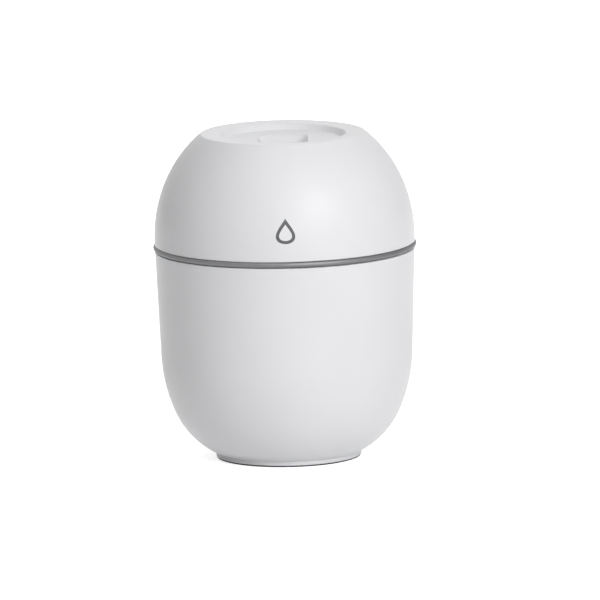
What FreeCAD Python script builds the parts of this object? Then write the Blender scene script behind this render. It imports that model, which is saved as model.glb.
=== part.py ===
"""Cool mist humidifier: an egg-shaped water cup with a lift-off cover that carries the mist maker.

Frame: millimetres, +Z up, origin on the standing surface under the middle of the foot.
The front of the object faces -Y and the USB socket faces +Y.
"""
import FreeCAD, Part
import math
import os

import Sketcher

doc = FreeCAD.newDocument("mist_humidifier")

# --------------------------------------------------------------------------------------
# Driving sizes: each one can be changed by itself
# --------------------------------------------------------------------------------------
SIZES = [
    ("cup_height", 62.85, "standing surface to the rim of the water cup"),
    ("cup_rim_in", 0.1, "outer edge of the cup rim inside the cover radius"),
    ("cup_waist_z", 31.1, "height where the drafted side turns into the belly curve"),
    ("cup_waist_in", 1.25, "outer surface there inside the rim"),
    ("cup_belly_z", 14.0, "height where the belly curve tightens"),
    ("cup_belly_in", 3.95, "outer surface there inside the waist"),
    ("cup_wall", 2.2, "wall of the cup"),
    ("cup_floor", 2.6, "floor of the cup over the foot recess"),
    ("bore_depth", 10.0, "depth of the straight bore that takes the collar"),
    ("foot_in", 11.95, "outer edge of the foot ring inside the belly"),
    ("foot_ring_width", 2.2, "radial width of the foot ring"),
    ("foot_top_z", 1.7, "top of the foot ring"),
    ("pad_flange", 0.5, "rubber under the foot ring"),
    ("pad_plug", 0.8, "rubber plug inside the foot ring"),
    ("pad_inset", 0.2, "rubber edge stands back from the foot ring"),
    ("cover_radius", 39.0, "outer radius of the cover"),
    ("cover_straight", 1.75, "straight band at the bottom of the cover"),
    ("shoulder_height", 15.25, "cover bottom to the start of the shoulder"),
    ("shoulder_in", 2.15, "outer surface there inside the cover radius"),
    ("lip_rise", 18.0, "start of the shoulder to the lip"),
    ("lip_in", 12.3, "lip crease inside the shoulder"),
    ("lip_round", 0.9, "rounding of the lip crease"),
    ("cover_wall", 2.0, "wall of the cover"),
    ("lip_fall", 0.4, "fall of the rim band towards the dish"),
    ("dish_rim_radius", 18.9, "radius where the dish begins"),
    ("dish_floor_radius", 17.4, "radius of the dish floor"),
    ("dish_depth", 1.8, "depth of the dish under its rim"),
    ("dish_floor_wall", 2.0, "wall of the dish floor"),
    ("dish_rim_round", 0.5, "rounding of the dish rim"),
    ("dish_corner_round", 0.8, "rounding at the dish floor"),
    ("well_half_width", 7.1, "half width of the mist well at the dish floor"),
    ("well_half_length", 7.5, "half length of the mist well, front to back"),
    ("well_corner", 2.0, "corner radius of the mist well"),
    ("well_edge", 0.5, "bevel round the mist well"),
    ("well_depth", 5.1, "dish floor to the underside of the throat"),
    ("well_wall", 1.5, "wall round the mist well"),
    ("throat_radius", 4.6, "radius of the mist throat"),
    ("throat_height", 1.0, "straight part of the throat"),
    ("ring_height", 1.75, "height of the metal trim ring"),
    ("ring_stand_out", 0.4, "trim ring beyond the cover"),
    ("ring_spigot", 2.45, "spigot of the trim ring inside the cover"),
    ("seam_gap", 0.15, "open seam between the trim ring and the cup rim"),
    ("seam_round", 0.2, "rounding of the edges beside the seam"),
    ("fit_gap", 0.05, "radial gap of a snug fit"),
    ("run_gap", 0.3, "radial gap between parts that come apart"),
    ("seal_gap", 0.06, "gap between a seal and the bore it slides in"),
    ("plate_gap", 0.15, "chassis plate above the cover's lower edge"),
    ("plate_wall", 2.0, "wall of the chassis plate"),
    ("collar_depth", 5.85, "collar inside the cup"),
    ("collar_wall", 2.0, "wall of the collar"),
    ("seal_groove_depth", 0.7, "depth of the collar's seal groove"),
    ("seal_groove_width", 1.4, "width of the collar's seal groove"),
    ("seal_groove_up", 2.0, "collar's lower edge to the seal groove"),
    ("wick_radius", 4.0, "radius of the cotton wick"),
    ("wick_gap", 0.1, "wick tip under the mesh plate"),
    ("wick_bevel", 0.6, "bevel of the wick tip"),
    ("guide_gap", 0.8, "wick to the guide tower"),
    ("tower_wall", 1.8, "wall of the guide tower"),
    ("tower_gap", 0.4, "guide tower under the clamp"),
    ("socket_bore", 7.7, "bore of the wick holder's socket"),
    ("socket_wall", 1.7, "wall of that socket"),
    ("socket_depth", 11.9, "depth of that socket under the plate"),
    ("holder_gap", 0.5, "wick to the holder tube"),
    ("holder_wall", 1.5, "wall of the holder tube"),
    ("holder_head_height", 9.6, "height of the holder's head"),
    ("holder_groove_width", 1.4, "width of the holder's seal groove"),
    ("holder_groove_depth", 0.9, "depth of the holder's seal groove"),
    ("holder_groove_down", 3.2, "head top to the lower edge of the seal groove"),
    ("lug_angle", 18.0, "width of a bayonet lug in degrees"),
    ("lug_height", 2.0, "height of a bayonet lug"),
    ("lug_up", 1.4, "head bottom to the bayonet lug"),
    ("lug_side_gap", 3.0, "free angle beside a lug in degrees"),
    ("holder_turn", 35.0, "turn from locked to unlocked in degrees"),
    ("holder_floor_gap", 1.2, "cup floor to the holder's end cap"),
    ("holder_cap_height", 7.0, "height of the end cap"),
    ("holder_cap_floor", 1.6, "floor of the end cap"),
    ("holder_cap_wall", 1.3, "wall of the end cap"),
    ("inlet_width", 2.2, "width of the water slots in the holder"),
    ("inlet_height", 20.0, "height of the water slots"),
    ("inlet_up", 4.0, "end cap to the water slots"),
    ("inlet_hole_radius", 1.5, "water hole in the end cap"),
    ("spring_space", 8.4, "end cap floor to the wick"),
    ("spring_radius", 3.1, "mean radius of the wick spring"),
    ("spring_wire", 0.3, "radius of the spring wire"),
    ("spring_turns", 5.0, "turns of the wick spring"),
    ("gasket_radius", 9.2, "outer radius of the silicone gaskets"),
    ("gasket_bore", 4.7, "bore of the gaskets and the clamp"),
    ("gasket_upper", 1.7, "upper gasket over the disc"),
    ("gasket_lower", 1.7, "lower gasket under the disc"),
    ("disc_radius", 8.0, "radius of the piezo disc"),
    ("disc_bore", 4.2, "bore of the piezo ring"),
    ("disc_gap", 0.1, "gasket round the disc"),
    ("piezo_thickness", 0.7, "thickness of the piezo ring"),
    ("mesh_thickness", 0.2, "thickness of the mesh plate"),
    ("clamp_wall", 1.6, "thickness of the clamp"),
    ("clamp_rim", 0.4, "clamp beyond the gaskets"),
    ("clamp_screw_x", 12.4, "clamp screw from the middle"),
    ("small_boss_radius", 2.2, "radius of the small screw bosses"),
    ("small_screw_radius", 0.95, "radius of the small screws"),
    ("small_screw_length", 5.0, "length of the small screws under the head"),
    ("small_head_radius", 1.8, "head radius of the small screws"),
    ("small_head_height", 1.2, "head height of the small screws"),
    ("button_radius", 3.25, "radius of the button"),
    ("button_gap", 0.2, "gap round the button"),
    ("button_y", -12.9, "button in front of the mist well"),
    ("button_flange", 1.0, "button flange beyond the button, and its height"),
    ("button_stop_gap", 0.15, "button flange under the dish floor"),
    ("button_travel", 0.5, "travel of the button"),
    ("button_round", 0.35, "rounding of the button"),
    ("switch_gap", 0.3, "free height left over the switch at full travel"),
    ("switch_side", 6.0, "side of the tactile switch"),
    ("switch_height", 3.3, "height of the tactile switch"),
    ("plunger_radius", 1.6, "radius of the switch plunger"),
    ("plunger_reach", 0.4, "plunger inside the switch at rest"),
    ("switch_board_width", 21.0, "width of the switch board"),
    ("switch_board_length", 7.4, "length of the switch board"),
    ("board_wall", 1.1, "thickness of both boards"),
    ("switch_screw_x", 8.2, "switch board screw from the middle"),
    ("main_board_width", 22.0, "width of the main board"),
    ("main_board_length", 22.2, "length of the main board"),
    ("main_board_in", 2.8, "rear edge of the main board inside the cover's bore"),
    ("post_height", 3.5, "height of the main board's posts"),
    ("post_inset", 2.3, "board post from the board's edges"),
    ("usb_half_width", 4.47, "half width of the USB shell"),
    ("usb_half_height", 1.63, "half height of the USB shell"),
    ("usb_corner", 1.5, "corner radius of the USB shell"),
    ("usb_length", 9.0, "length of the USB shell"),
    ("usb_skin", 0.3, "sheet of the USB shell"),
    ("usb_slot_gap", 0.2, "gap round the USB shell in the cover"),
    ("usb_recess", 0.5, "USB mouth behind the cover's surface"),
    ("tongue_half_width", 3.35, "half width of the USB tongue"),
    ("tongue_height", 0.7, "height of the USB tongue"),
    ("tongue_recess", 0.9, "tongue tip behind the USB mouth"),
    ("boss_in", 6.5, "cover bosses inside the cover's bore"),
    ("boss_radius", 3.0, "radius of the cover bosses"),
    ("rib_wall", 1.4, "wall of the boss ribs"),
    ("rib_up", 2.0, "boss end to the rib"),
    ("screw_radius", 1.25, "radius of the chassis screws"),
    ("screw_length", 10.0, "length of the chassis screws under the head"),
    ("screw_head_radius", 2.4, "head radius of the chassis screws"),
    ("screw_head_height", 1.6, "head height of the chassis screws"),
    ("drive_slot", 0.6, "width of the cross slots in the screws"),
    ("chip_width", 5.0, "width of the controller chip"),
    ("chip_length", 4.0, "length of the controller chip"),
    ("chip_height", 1.4, "height of the controller chip"),
    ("coil_radius", 3.1, "radius of the drive coil"),
    ("coil_height", 4.6, "height of the drive coil"),
    ("coil_flange", 0.8, "flange of the drive coil"),
    ("can_radius", 2.5, "radius of the filter capacitor"),
    ("can_height", 6.5, "height of the filter capacitor"),
    ("lamp_side", 2.8, "side of a night light LED"),
    ("lamp_height", 1.2, "height of a night light LED"),
    ("header_width", 5.4, "width of a lead header"),
    ("header_length", 4.0, "length of a lead header"),
    ("header_height", 4.6, "height of a lead header"),
    ("header_x", 7.9, "lead headers from the middle"),
    ("header_y", 13.4, "lead headers behind the board's front edge"),
    ("lead_radius", 0.55, "radius of an insulated lead"),
    ("lead_pitch", 1.5, "spacing of the two leads of a pair"),
    ("lead_bend", 5.0, "bend radius of the leads"),
    ("lead_seat", 1.8, "lead inside its header"),
    ("switch_lead_z", 14.5, "switch leads over the chassis plate"),
    ("atomizer_lead_x", 4.6, "atomiser leads from the middle where they reach the gasket"),
]

# --------------------------------------------------------------------------------------
# Sizes that follow from them
# --------------------------------------------------------------------------------------
DERIVED = [
    # radii that follow the cover, which sets the girth of the whole body
    ("cup_rim_radius", "=cover_radius - cup_rim_in"),
    ("cup_waist_radius", "=cup_rim_radius - cup_waist_in"),
    ("cup_belly_radius", "=cup_waist_radius - cup_belly_in"),
    ("foot_radius", "=cup_belly_radius - foot_in"),
    ("shoulder_radius", "=cover_radius - shoulder_in"),
    ("lip_radius", "=shoulder_radius - lip_in"),
    ("cover_height", "=shoulder_height + lip_rise"),
    # cup outline: a drafted side, then two curves that run on smoothly to the foot
    ("side_run_r", "=cup_rim_radius - cup_waist_radius"),
    ("side_run_z", "=cup_height - cup_waist_z"),
    ("side_run", "=sqrt(side_run_r^2 + side_run_z^2)"),
    ("waist_nr", "=side_run_z / side_run"),
    ("waist_nz", "=-side_run_r / side_run"),
    ("belly_dr", "=cup_waist_radius - cup_belly_radius"),
    ("belly_dz", "=cup_waist_z - cup_belly_z"),
    ("belly_curve", "=(belly_dr^2 + belly_dz^2) / (2 * (belly_dr * waist_nr + belly_dz * waist_nz))"),
    ("belly_cr", "=cup_waist_radius - belly_curve * waist_nr"),
    ("belly_cz", "=cup_waist_z - belly_curve * waist_nz"),
    ("foot_nr", "=(cup_belly_radius - belly_cr) / belly_curve"),
    ("foot_nz", "=(cup_belly_z - belly_cz) / belly_curve"),
    ("foot_dr", "=cup_belly_radius - foot_radius"),
    ("foot_dz", "=cup_belly_z - foot_top_z"),
    ("foot_curve", "=(foot_dr^2 + foot_dz^2) / (2 * (foot_dr * foot_nr + foot_dz * foot_nz))"),
    ("foot_cr", "=cup_belly_radius - foot_curve * foot_nr"),
    ("foot_cz", "=cup_belly_z - foot_curve * foot_nz"),
    ("recess_radius", "=foot_radius - foot_ring_width"),
    ("recess_z", "=pad_flange + pad_plug"),
    ("pad_radius", "=foot_radius - pad_inset"),
    ("plug_radius", "=recess_radius - fit_gap"),
    ("cup_floor_z", "=recess_z + cup_floor"),
    ("collar_radius", "=cover_radius - cover_wall - 0.8"),
    ("cup_bore", "=collar_radius + run_gap"),
    ("cup_bore_z", "=cup_height - bore_depth"),
    ("inner_waist_r", "=cup_waist_radius - cup_wall * waist_nr"),
    ("inner_waist_z", "=cup_waist_z - cup_wall * waist_nz"),
    ("inner_belly_r", "=cup_belly_radius - cup_wall * foot_nr"),
    ("inner_belly_z", "=cup_belly_z - cup_wall * foot_nz"),
    ("inner_belly_curve", "=belly_curve - cup_wall"),
    ("inner_foot_curve", "=foot_curve - cup_wall"),
    ("inner_floor_r", "=foot_cr + sqrt(inner_foot_curve^2 - (foot_cz - cup_floor_z)^2)"),
    # seam
    ("ring_low_z", "=cup_height + seam_gap"),
    ("ring_top_z", "=ring_low_z + ring_height"),
    ("ring_mid_z", "=ring_low_z + ring_height / 2"),
    ("ring_half", "=ring_height / 2"),
    ("ring_outer", "=cover_radius + ring_stand_out"),
    ("ring_bead_r", "=ring_outer - ring_half"),
    ("cover_bore", "=cover_radius - cover_wall"),
    ("ring_bore", "=collar_radius + 0.2"),
    ("ring_spigot_r", "=cover_bore - fit_gap"),
    ("ring_spigot_z", "=ring_top_z + ring_spigot"),
    # cover outline: straight band, side curve, shoulder curve, lip, dish
    ("cover_band_z", "=ring_top_z + cover_straight"),
    ("shoulder_z", "=ring_top_z + shoulder_height"),
    ("lip_z", "=ring_top_z + cover_height"),
    ("side_dr", "=cover_radius - shoulder_radius"),
    ("side_dz", "=shoulder_z - cover_band_z"),
    ("side_curve", "=(side_dr^2 + side_dz^2) / (2 * side_dr)"),
    ("side_cr", "=cover_radius - side_curve"),
    ("top_nr", "=(shoulder_radius - side_cr) / side_curve"),
    ("top_nz", "=side_dz / side_curve"),
    ("top_dr", "=shoulder_radius - lip_radius"),
    ("top_dz", "=shoulder_z - lip_z"),
    ("top_curve", "=(top_dr^2 + top_dz^2) / (2 * (top_dr * top_nr + top_dz * top_nz))"),
    ("top_cr", "=shoulder_radius - top_curve * top_nr"),
    ("top_cz", "=shoulder_z - top_curve * top_nz"),
    ("inner_side_curve", "=side_curve - cover_wall"),
    ("inner_top_curve", "=top_curve - cover_wall"),
    ("inner_shoulder_r", "=shoulder_radius - cover_wall * top_nr"),
    ("inner_shoulder_z", "=shoulder_z - cover_wall * top_nz"),
    ("dish_rim_z", "=lip_z - lip_fall"),
    ("dish_z", "=dish_rim_z - dish_depth"),
    ("dish_low_z", "=dish_z - dish_floor_wall"),
    ("band_low_z", "=dish_rim_z - cover_wall"),
    ("band_low_r", "=top_cr + sqrt(inner_top_curve^2 - (band_low_z - top_cz)^2)"),
    ("dish_back_r", "=dish_rim_radius + cover_wall"),
    ("mid_cover_r", "=cover_radius - cover_wall / 2"),
    ("mid_side_curve", "=side_curve - cover_wall / 2"),
    ("mid_top_curve", "=top_curve - cover_wall / 2"),
    ("mid_shoulder_r", "=shoulder_radius - cover_wall / 2 * top_nr"),
    ("mid_shoulder_z", "=shoulder_z - cover_wall / 2 * top_nz"),
    ("mid_band_z", "=dish_rim_z - cover_wall / 2"),
    ("mid_band_r", "=top_cr + sqrt(mid_top_curve^2 - (mid_band_z - top_cz)^2)"),
    ("dish_back_low_r", "=dish_floor_radius + cover_wall"),
    # mist well
    ("well_edge_width", "=well_half_width + well_edge"),
    ("well_edge_length", "=well_half_length + well_edge"),
    ("well_edge_corner", "=well_corner + well_edge"),
    ("well_edge_z", "=dish_z - well_edge"),
    ("throat_low_z", "=dish_z - well_depth"),
    ("throat_top_z", "=throat_low_z + throat_height"),
    ("throat_corner", "=throat_radius - 0.1"),
    ("well_out_width", "=well_half_width + well_wall"),
    ("well_out_length", "=well_half_length + well_wall"),
    ("well_out_corner", "=well_corner + well_wall"),
    ("throat_out", "=throat_radius + well_wall"),
    ("throat_out_corner", "=throat_out - 0.1"),
    # atomiser stack, from the throat down
    ("piezo_top_z", "=throat_low_z - gasket_upper"),
    ("piezo_low_z", "=piezo_top_z - piezo_thickness"),
    ("mesh_low_z", "=piezo_low_z - mesh_thickness"),
    ("clamp_top_z", "=mesh_low_z - gasket_lower"),
    ("clamp_low_z", "=clamp_top_z - clamp_wall"),
    ("clamp_radius", "=gasket_radius + clamp_rim"),
    ("disc_seat_r", "=disc_radius + disc_gap"),
    ("wick_top_z", "=mesh_low_z - wick_gap"),
    ("wick_bevel_r", "=wick_radius - wick_bevel"),
    ("wick_bevel_z", "=wick_top_z - wick_bevel"),
    # chassis
    ("plate_low_z", "=ring_top_z + plate_gap"),
    ("plate_top_z", "=plate_low_z + plate_wall"),
    ("collar_low_z", "=cup_height - collar_depth"),
    ("collar_inner", "=collar_radius - collar_wall"),
    ("groove_low_z", "=collar_low_z + seal_groove_up"),
    ("groove_top_z", "=groove_low_z + seal_groove_width"),
    ("groove_mid_z", "=groove_low_z + seal_groove_width / 2"),
    ("groove_radius", "=collar_radius - seal_groove_depth"),
    ("tower_bore", "=wick_radius + guide_gap"),
    ("tower_radius", "=tower_bore + tower_wall"),
    ("tower_top_z", "=clamp_low_z - tower_gap"),
    ("socket_radius", "=socket_bore + socket_wall"),
    ("socket_low_z", "=plate_low_z - socket_depth"),
    # wick holder, from the socket down to the cup floor
    ("head_radius", "=socket_bore - run_gap"),
    ("head_top_z", "=plate_low_z - run_gap"),
    ("head_low_z", "=head_top_z - holder_head_height"),
    ("head_groove_z", "=head_top_z - holder_groove_down"),
    ("head_groove_top_z", "=head_groove_z + holder_groove_width"),
    ("head_groove_mid_z", "=head_groove_z + holder_groove_width / 2"),
    ("head_groove_r", "=head_radius - holder_groove_depth"),
    ("lug_low_z", "=head_low_z + lug_up"),
    ("lug_top_z", "=lug_low_z + lug_height"),
    ("lug_reach", "=socket_radius - 0.4"),
    ("holder_bore", "=wick_radius + holder_gap"),
    ("holder_radius", "=holder_bore + holder_wall"),
    ("cap_low_z", "=cup_floor_z + holder_floor_gap"),
    ("cap_floor_z", "=cap_low_z + holder_cap_floor"),
    ("cap_top_z", "=cap_low_z + holder_cap_height"),
    ("cap_bore", "=holder_radius + fit_gap"),
    ("cap_radius", "=cap_bore + holder_cap_wall"),
    ("holder_low_z", "=cap_floor_z + 0.1"),
    ("wick_low_z", "=cap_floor_z + spring_space"),
    ("spring_low_z", "=cap_floor_z + spring_wire + 0.05"),
    ("spring_height", "=spring_space - 2 * spring_wire - 0.1"),
    # button and switch, from the dish floor down
    ("flange_top_z", "=dish_low_z - button_stop_gap"),
    ("flange_low_z", "=flange_top_z - button_flange"),
    ("flange_radius", "=button_radius + button_flange"),
    ("switch_top_z", "=flange_low_z - button_travel - switch_gap"),
    ("switch_low_z", "=switch_top_z - switch_height"),
    ("switch_board_z", "=switch_low_z - board_wall"),
    ("plunger_low_z", "=switch_top_z - plunger_reach"),
    ("switch_board_y", "=button_y - switch_board_length / 2 - 0.5"),
    ("switch_screw_y", "=button_y - 0.9"),
    # main board
    ("main_board_y", "=cover_bore - main_board_in - main_board_length"),
    ("boss_ring_radius", "=cover_bore - boss_in"),
    ("board_low_z", "=plate_top_z + post_height"),
    ("board_top_z", "=board_low_z + board_wall"),
    ("usb_mid_z", "=board_top_z + usb_half_height"),
    ("usb_face_r", "=side_cr + sqrt(side_curve^2 - (usb_mid_z - cover_band_z)^2)"),
    ("usb_mouth_y", "=usb_face_r - usb_recess"),
    ("usb_back_y", "=usb_mouth_y - usb_length"),
    ("usb_slot_width", "=usb_half_width + usb_slot_gap"),
    ("usb_slot_height", "=usb_half_height + usb_slot_gap"),
    ("usb_slot_corner", "=usb_corner + usb_slot_gap"),
    ("usb_hollow_width", "=usb_half_width - usb_skin"),
    ("usb_hollow_height", "=usb_half_height - usb_skin"),
    ("usb_hollow_corner", "=usb_corner - usb_skin"),
    ("usb_core_width", "=usb_hollow_width - fit_gap"),
    ("usb_core_height", "=usb_hollow_height - fit_gap"),
    ("usb_core_corner", "=usb_hollow_corner - fit_gap"),
    ("header_top_z", "=board_top_z + header_height"),
    ("header_mid_y", "=main_board_y + header_y"),
    ("boss_low_z", "=plate_top_z"),
]

sheet = doc.addObject("Spreadsheet::Sheet", "Dim")


def fill_sheet():
    """Write the driving sizes as plain numbers and the others as formulas, each with an alias."""
    row = 1
    for alias, value, note in SIZES:
        sheet.set("A%d" % row, alias)
        sheet.set("B%d" % row, str(value))
        sheet.set("C%d" % row, note)
        sheet.setAlias("B%d" % row, alias)
        row += 1
    for alias, formula in DERIVED:
        sheet.set("A%d" % row, alias)
        sheet.set("B%d" % row, formula)
        sheet.setAlias("B%d" % row, alias)
        row += 1
    doc.recompute()


def size(alias):
    """Value of one alias of the sheet, in millimetres or degrees."""
    return float(sheet.get(alias))


fill_sheet()

# --------------------------------------------------------------------------------------
# Helpers: each returns an object of the document with its sizes bound to the sheet
# --------------------------------------------------------------------------------------
AXIS = "on_axis"        # a vertex on the turning axis
GROUND = "on_ground"    # a vertex on the standing surface


def bind(thing, prop, formula):
    """Bind one property to a formula in which a plain word means a size of the sheet."""
    words = []
    for word in formula.replace("(", " ( ").replace(")", " ) ").split():
        words.append("Dim." + word if word[0].isalpha() and word not in ("sqrt", "cos", "sin") else word)
    thing.setExpression(prop, " ".join(words))


def place(thing, x="0", y="0", z="0"):
    """Bind the position of an object."""
    for key, formula in (("x", x), ("y", y), ("z", z)):
        if formula != "0":
            bind(thing, "Placement.Base." + key, formula)
    return thing


def pin(sketch, edge, pos, across, up):
    """Fix one vertex of an outline at two sizes of the sheet, or on an axis."""
    if across == AXIS:
        sketch.addConstraint(Sketcher.Constraint("PointOnObject", edge, pos, -2))
    else:
        name = "across_%d" % edge
        at = sketch.addConstraint(Sketcher.Constraint("DistanceX", -1, 1, edge, pos, size(across)))
        sketch.renameConstraint(at, name)
        bind(sketch, "Constraints." + name, across)
    if up == GROUND:
        sketch.addConstraint(Sketcher.Constraint("PointOnObject", edge, pos, -1))
    else:
        name = "up_%d" % edge
        at = sketch.addConstraint(Sketcher.Constraint("DistanceY", -1, 1, edge, pos, size(up)))
        sketch.renameConstraint(at, name)
        bind(sketch, "Constraints." + name, up)


def spot(vertex):
    """Point of one outline vertex in its sketch."""
    across = 0.0 if vertex[0] == AXIS else size(vertex[0])
    up = 0.0 if vertex[1] == GROUND else size(vertex[1])
    return FreeCAD.Vector(across, up, 0)


def draw_outline(sketch, outline):
    """Draw a closed outline of lines and arcs and fix every vertex.

    A vertex is (across, up) where a line ends, or (across, up, centre across, centre up,
    radius) where an arc round that centre ends.
    """
    up_axis = FreeCAD.Vector(0, 0, 1)
    count = len(outline)
    starts = []
    ends = []
    for index in range(count):
        start = spot(outline[index])
        vertex = outline[(index + 1) % count]
        end = spot(vertex)
        if len(vertex) == 2:
            edge = sketch.addGeometry(Part.LineSegment(start, end), False)
            starts.append(1)
            ends.append(2)
            continue
        centre = FreeCAD.Vector(size(vertex[2]), size(vertex[3]), 0)
        radius = size(vertex[4])
        from_angle = math.atan2(start.y - centre.y, start.x - centre.x)
        to_angle = math.atan2(end.y - centre.y, end.x - centre.x)
        circle = Part.Circle(centre, up_axis, radius)
        turn = (start - centre).cross(end - centre).z
        if turn > 0:
            edge = sketch.addGeometry(Part.ArcOfCircle(circle, from_angle, to_angle), False)
            starts.append(1)
            ends.append(2)
        else:
            edge = sketch.addGeometry(Part.ArcOfCircle(circle, to_angle, from_angle), False)
            starts.append(2)
            ends.append(1)
        at = sketch.addConstraint(Sketcher.Constraint("Radius", edge, radius))
        sketch.renameConstraint(at, "radius_%d" % edge)
        bind(sketch, "Constraints.radius_%d" % edge, vertex[4])
    for index in range(count):
        after = (index + 1) % count
        sketch.addConstraint(Sketcher.Constraint("Coincident", index, ends[index], after, starts[after]))
        pin(sketch, index, starts[index], outline[index][0], outline[index][1])


def plane_of(body, role):
    """Origin plane of a body."""
    for feature in body.Origin.OriginFeatures:
        if feature.Role == role:
            return feature
    raise ValueError("no plane " + role)


def turned(name, outline):
    """Body made by turning an outline round the vertical axis."""
    body = doc.addObject("PartDesign::Body", name)
    sketch = body.newObject("Sketcher::SketchObject", name + "_outline")
    sketch.AttachmentSupport = (plane_of(body, "XZ_Plane"), [""])
    sketch.MapMode = "FlatFace"
    draw_outline(sketch, outline)
    doc.recompute()
    turn = body.newObject("PartDesign::Revolution", name + "_turn")
    turn.Profile = sketch
    turn.ReferenceAxis = (sketch, ["V_Axis"])
    turn.Angle = 360
    sketch.Visibility = False
    doc.recompute()
    return body


def round_edges(body, radius, spots):
    """Fillet the circular edges of a turned body that lie at the named vertices."""
    base = body.Tip
    names = []
    for across, up in spots:
        for number, edge in enumerate(base.Shape.Edges, 1):
            circle = edge.Curve
            if not isinstance(circle, Part.Circle):
                continue
            if abs(circle.Radius - size(across)) < 0.01 and abs(circle.Center.z - size(up)) < 0.01:
                names.append("Edge%d" % number)
    fillet = body.newObject("PartDesign::Fillet", body.Name + "_round_" + radius)
    fillet.Base = (base, names)
    bind(fillet, "Radius", radius)
    doc.recompute()
    return body


def cylinder(name, radius, low, high, x="0", y="0", sweep="360", turn=0.0):
    """Upright cylinder, or a sector of one."""
    solid = doc.addObject("Part::Cylinder", name)
    bind(solid, "Radius", radius)
    bind(solid, "Height", "( " + high + " ) - ( " + low + " )")
    bind(solid, "Angle", sweep)
    solid.Placement = FreeCAD.Placement(FreeCAD.Vector(), FreeCAD.Rotation(FreeCAD.Vector(0, 0, 1), turn))
    return place(solid, x, y, low)


def box(name, x, y, z, width, length, height):
    """Box by its low corner and its sizes."""
    solid = doc.addObject("Part::Box", name)
    bind(solid, "Length", width)
    bind(solid, "Width", length)
    bind(solid, "Height", height)
    return place(solid, x, y, z)


def fuse(name, *solids):
    """Union of two or more objects."""
    union = doc.addObject("Part::MultiFuse", name)
    union.Shapes = list(solids)
    union.Refine = True
    return union


def cut(name, base, *tools):
    """Base without its tools."""
    tool = tools[0] if len(tools) == 1 else fuse(name + "_tools", *tools)
    result = doc.addObject("Part::Cut", name)
    result.Base = base
    result.Tool = tool
    result.Refine = True
    return result


def gather(name, solids):
    """Equal pieces, apart from each other, in one object."""
    group = doc.addObject("Part::Compound", name)
    group.Links = solids
    return group


def rounded_sketch(name, half_width, half_length, corner, upright=False):
    """Rounded rectangle about the origin, flat or standing in the XZ plane."""
    sketch = doc.addObject("Sketcher::SketchObject", name)
    if upright:
        sketch.Placement = FreeCAD.Placement(
            FreeCAD.Vector(), FreeCAD.Rotation(FreeCAD.Vector(1, 0, 0), 90))
    wide, long_, bend = size(half_width), size(half_length), size(corner)
    flat = FreeCAD.Vector(0, 0, 1)
    quarter = math.pi / 2
    signs = [(1, 1, 0.0), (-1, 1, quarter), (-1, -1, math.pi), (1, -1, 3 * quarter)]
    arcs = []
    for sign_x, sign_y, start in signs:
        centre = FreeCAD.Vector(sign_x * (wide - bend), sign_y * (long_ - bend), 0)
        circle = Part.Circle(centre, flat, bend)
        arcs.append(sketch.addGeometry(Part.ArcOfCircle(circle, start, start + quarter), False))
    lines = []
    for index in range(4):
        here = sketch.getPoint(arcs[index], 2)
        there = sketch.getPoint(arcs[(index + 1) % 4], 1)
        lines.append(sketch.addGeometry(Part.LineSegment(here, there), False))
    for index in range(4):
        after = arcs[(index + 1) % 4]
        sketch.addConstraint(Sketcher.Constraint("Tangent", arcs[index], 2, lines[index], 1))
        sketch.addConstraint(Sketcher.Constraint("Tangent", lines[index], 2, after, 1))
        level = "Horizontal" if index % 2 == 0 else "Vertical"
        sketch.addConstraint(Sketcher.Constraint(level, lines[index]))
    for index in (1, 2, 3):
        sketch.addConstraint(Sketcher.Constraint("Equal", arcs[0], arcs[index]))
    sketch.addConstraint(Sketcher.Constraint("Symmetric", arcs[0], 3, arcs[2], 3, -1, 1))
    for kind, geo, value in (("DistanceX", lines[3], half_width), ("DistanceY", lines[0], half_length)):
        at = sketch.addConstraint(Sketcher.Constraint(kind, -1, 1, geo, 1, size(value)))
        sketch.renameConstraint(at, "half_" + kind[-1])
        bind(sketch, "Constraints.half_" + kind[-1], value)
    at = sketch.addConstraint(Sketcher.Constraint("Radius", arcs[0], bend))
    sketch.renameConstraint(at, "corner")
    bind(sketch, "Constraints.corner", corner)
    sketch.Visibility = False
    return sketch


def loft(name, *sketches):
    """Solid with straight walls between rounded sections."""
    solid = doc.addObject("Part::Loft", name)
    solid.Sections = list(sketches)
    solid.Solid = True
    solid.Ruled = True
    return solid


def bar(name, half_width, half_height, corner, front, back, mid_z):
    """Rounded bar that runs front to back."""
    sketch = rounded_sketch(name + "_section", half_width, half_height, corner, upright=True)
    place(sketch, "0", front, mid_z)
    solid = doc.addObject("Part::Extrusion", name)
    solid.Base = sketch
    solid.DirMode = "Custom"
    solid.Dir = FreeCAD.Vector(0, 1, 0)
    solid.Solid = True
    bind(solid, "LengthFwd", "( " + back + " ) - ( " + front + " )")
    return solid


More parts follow.
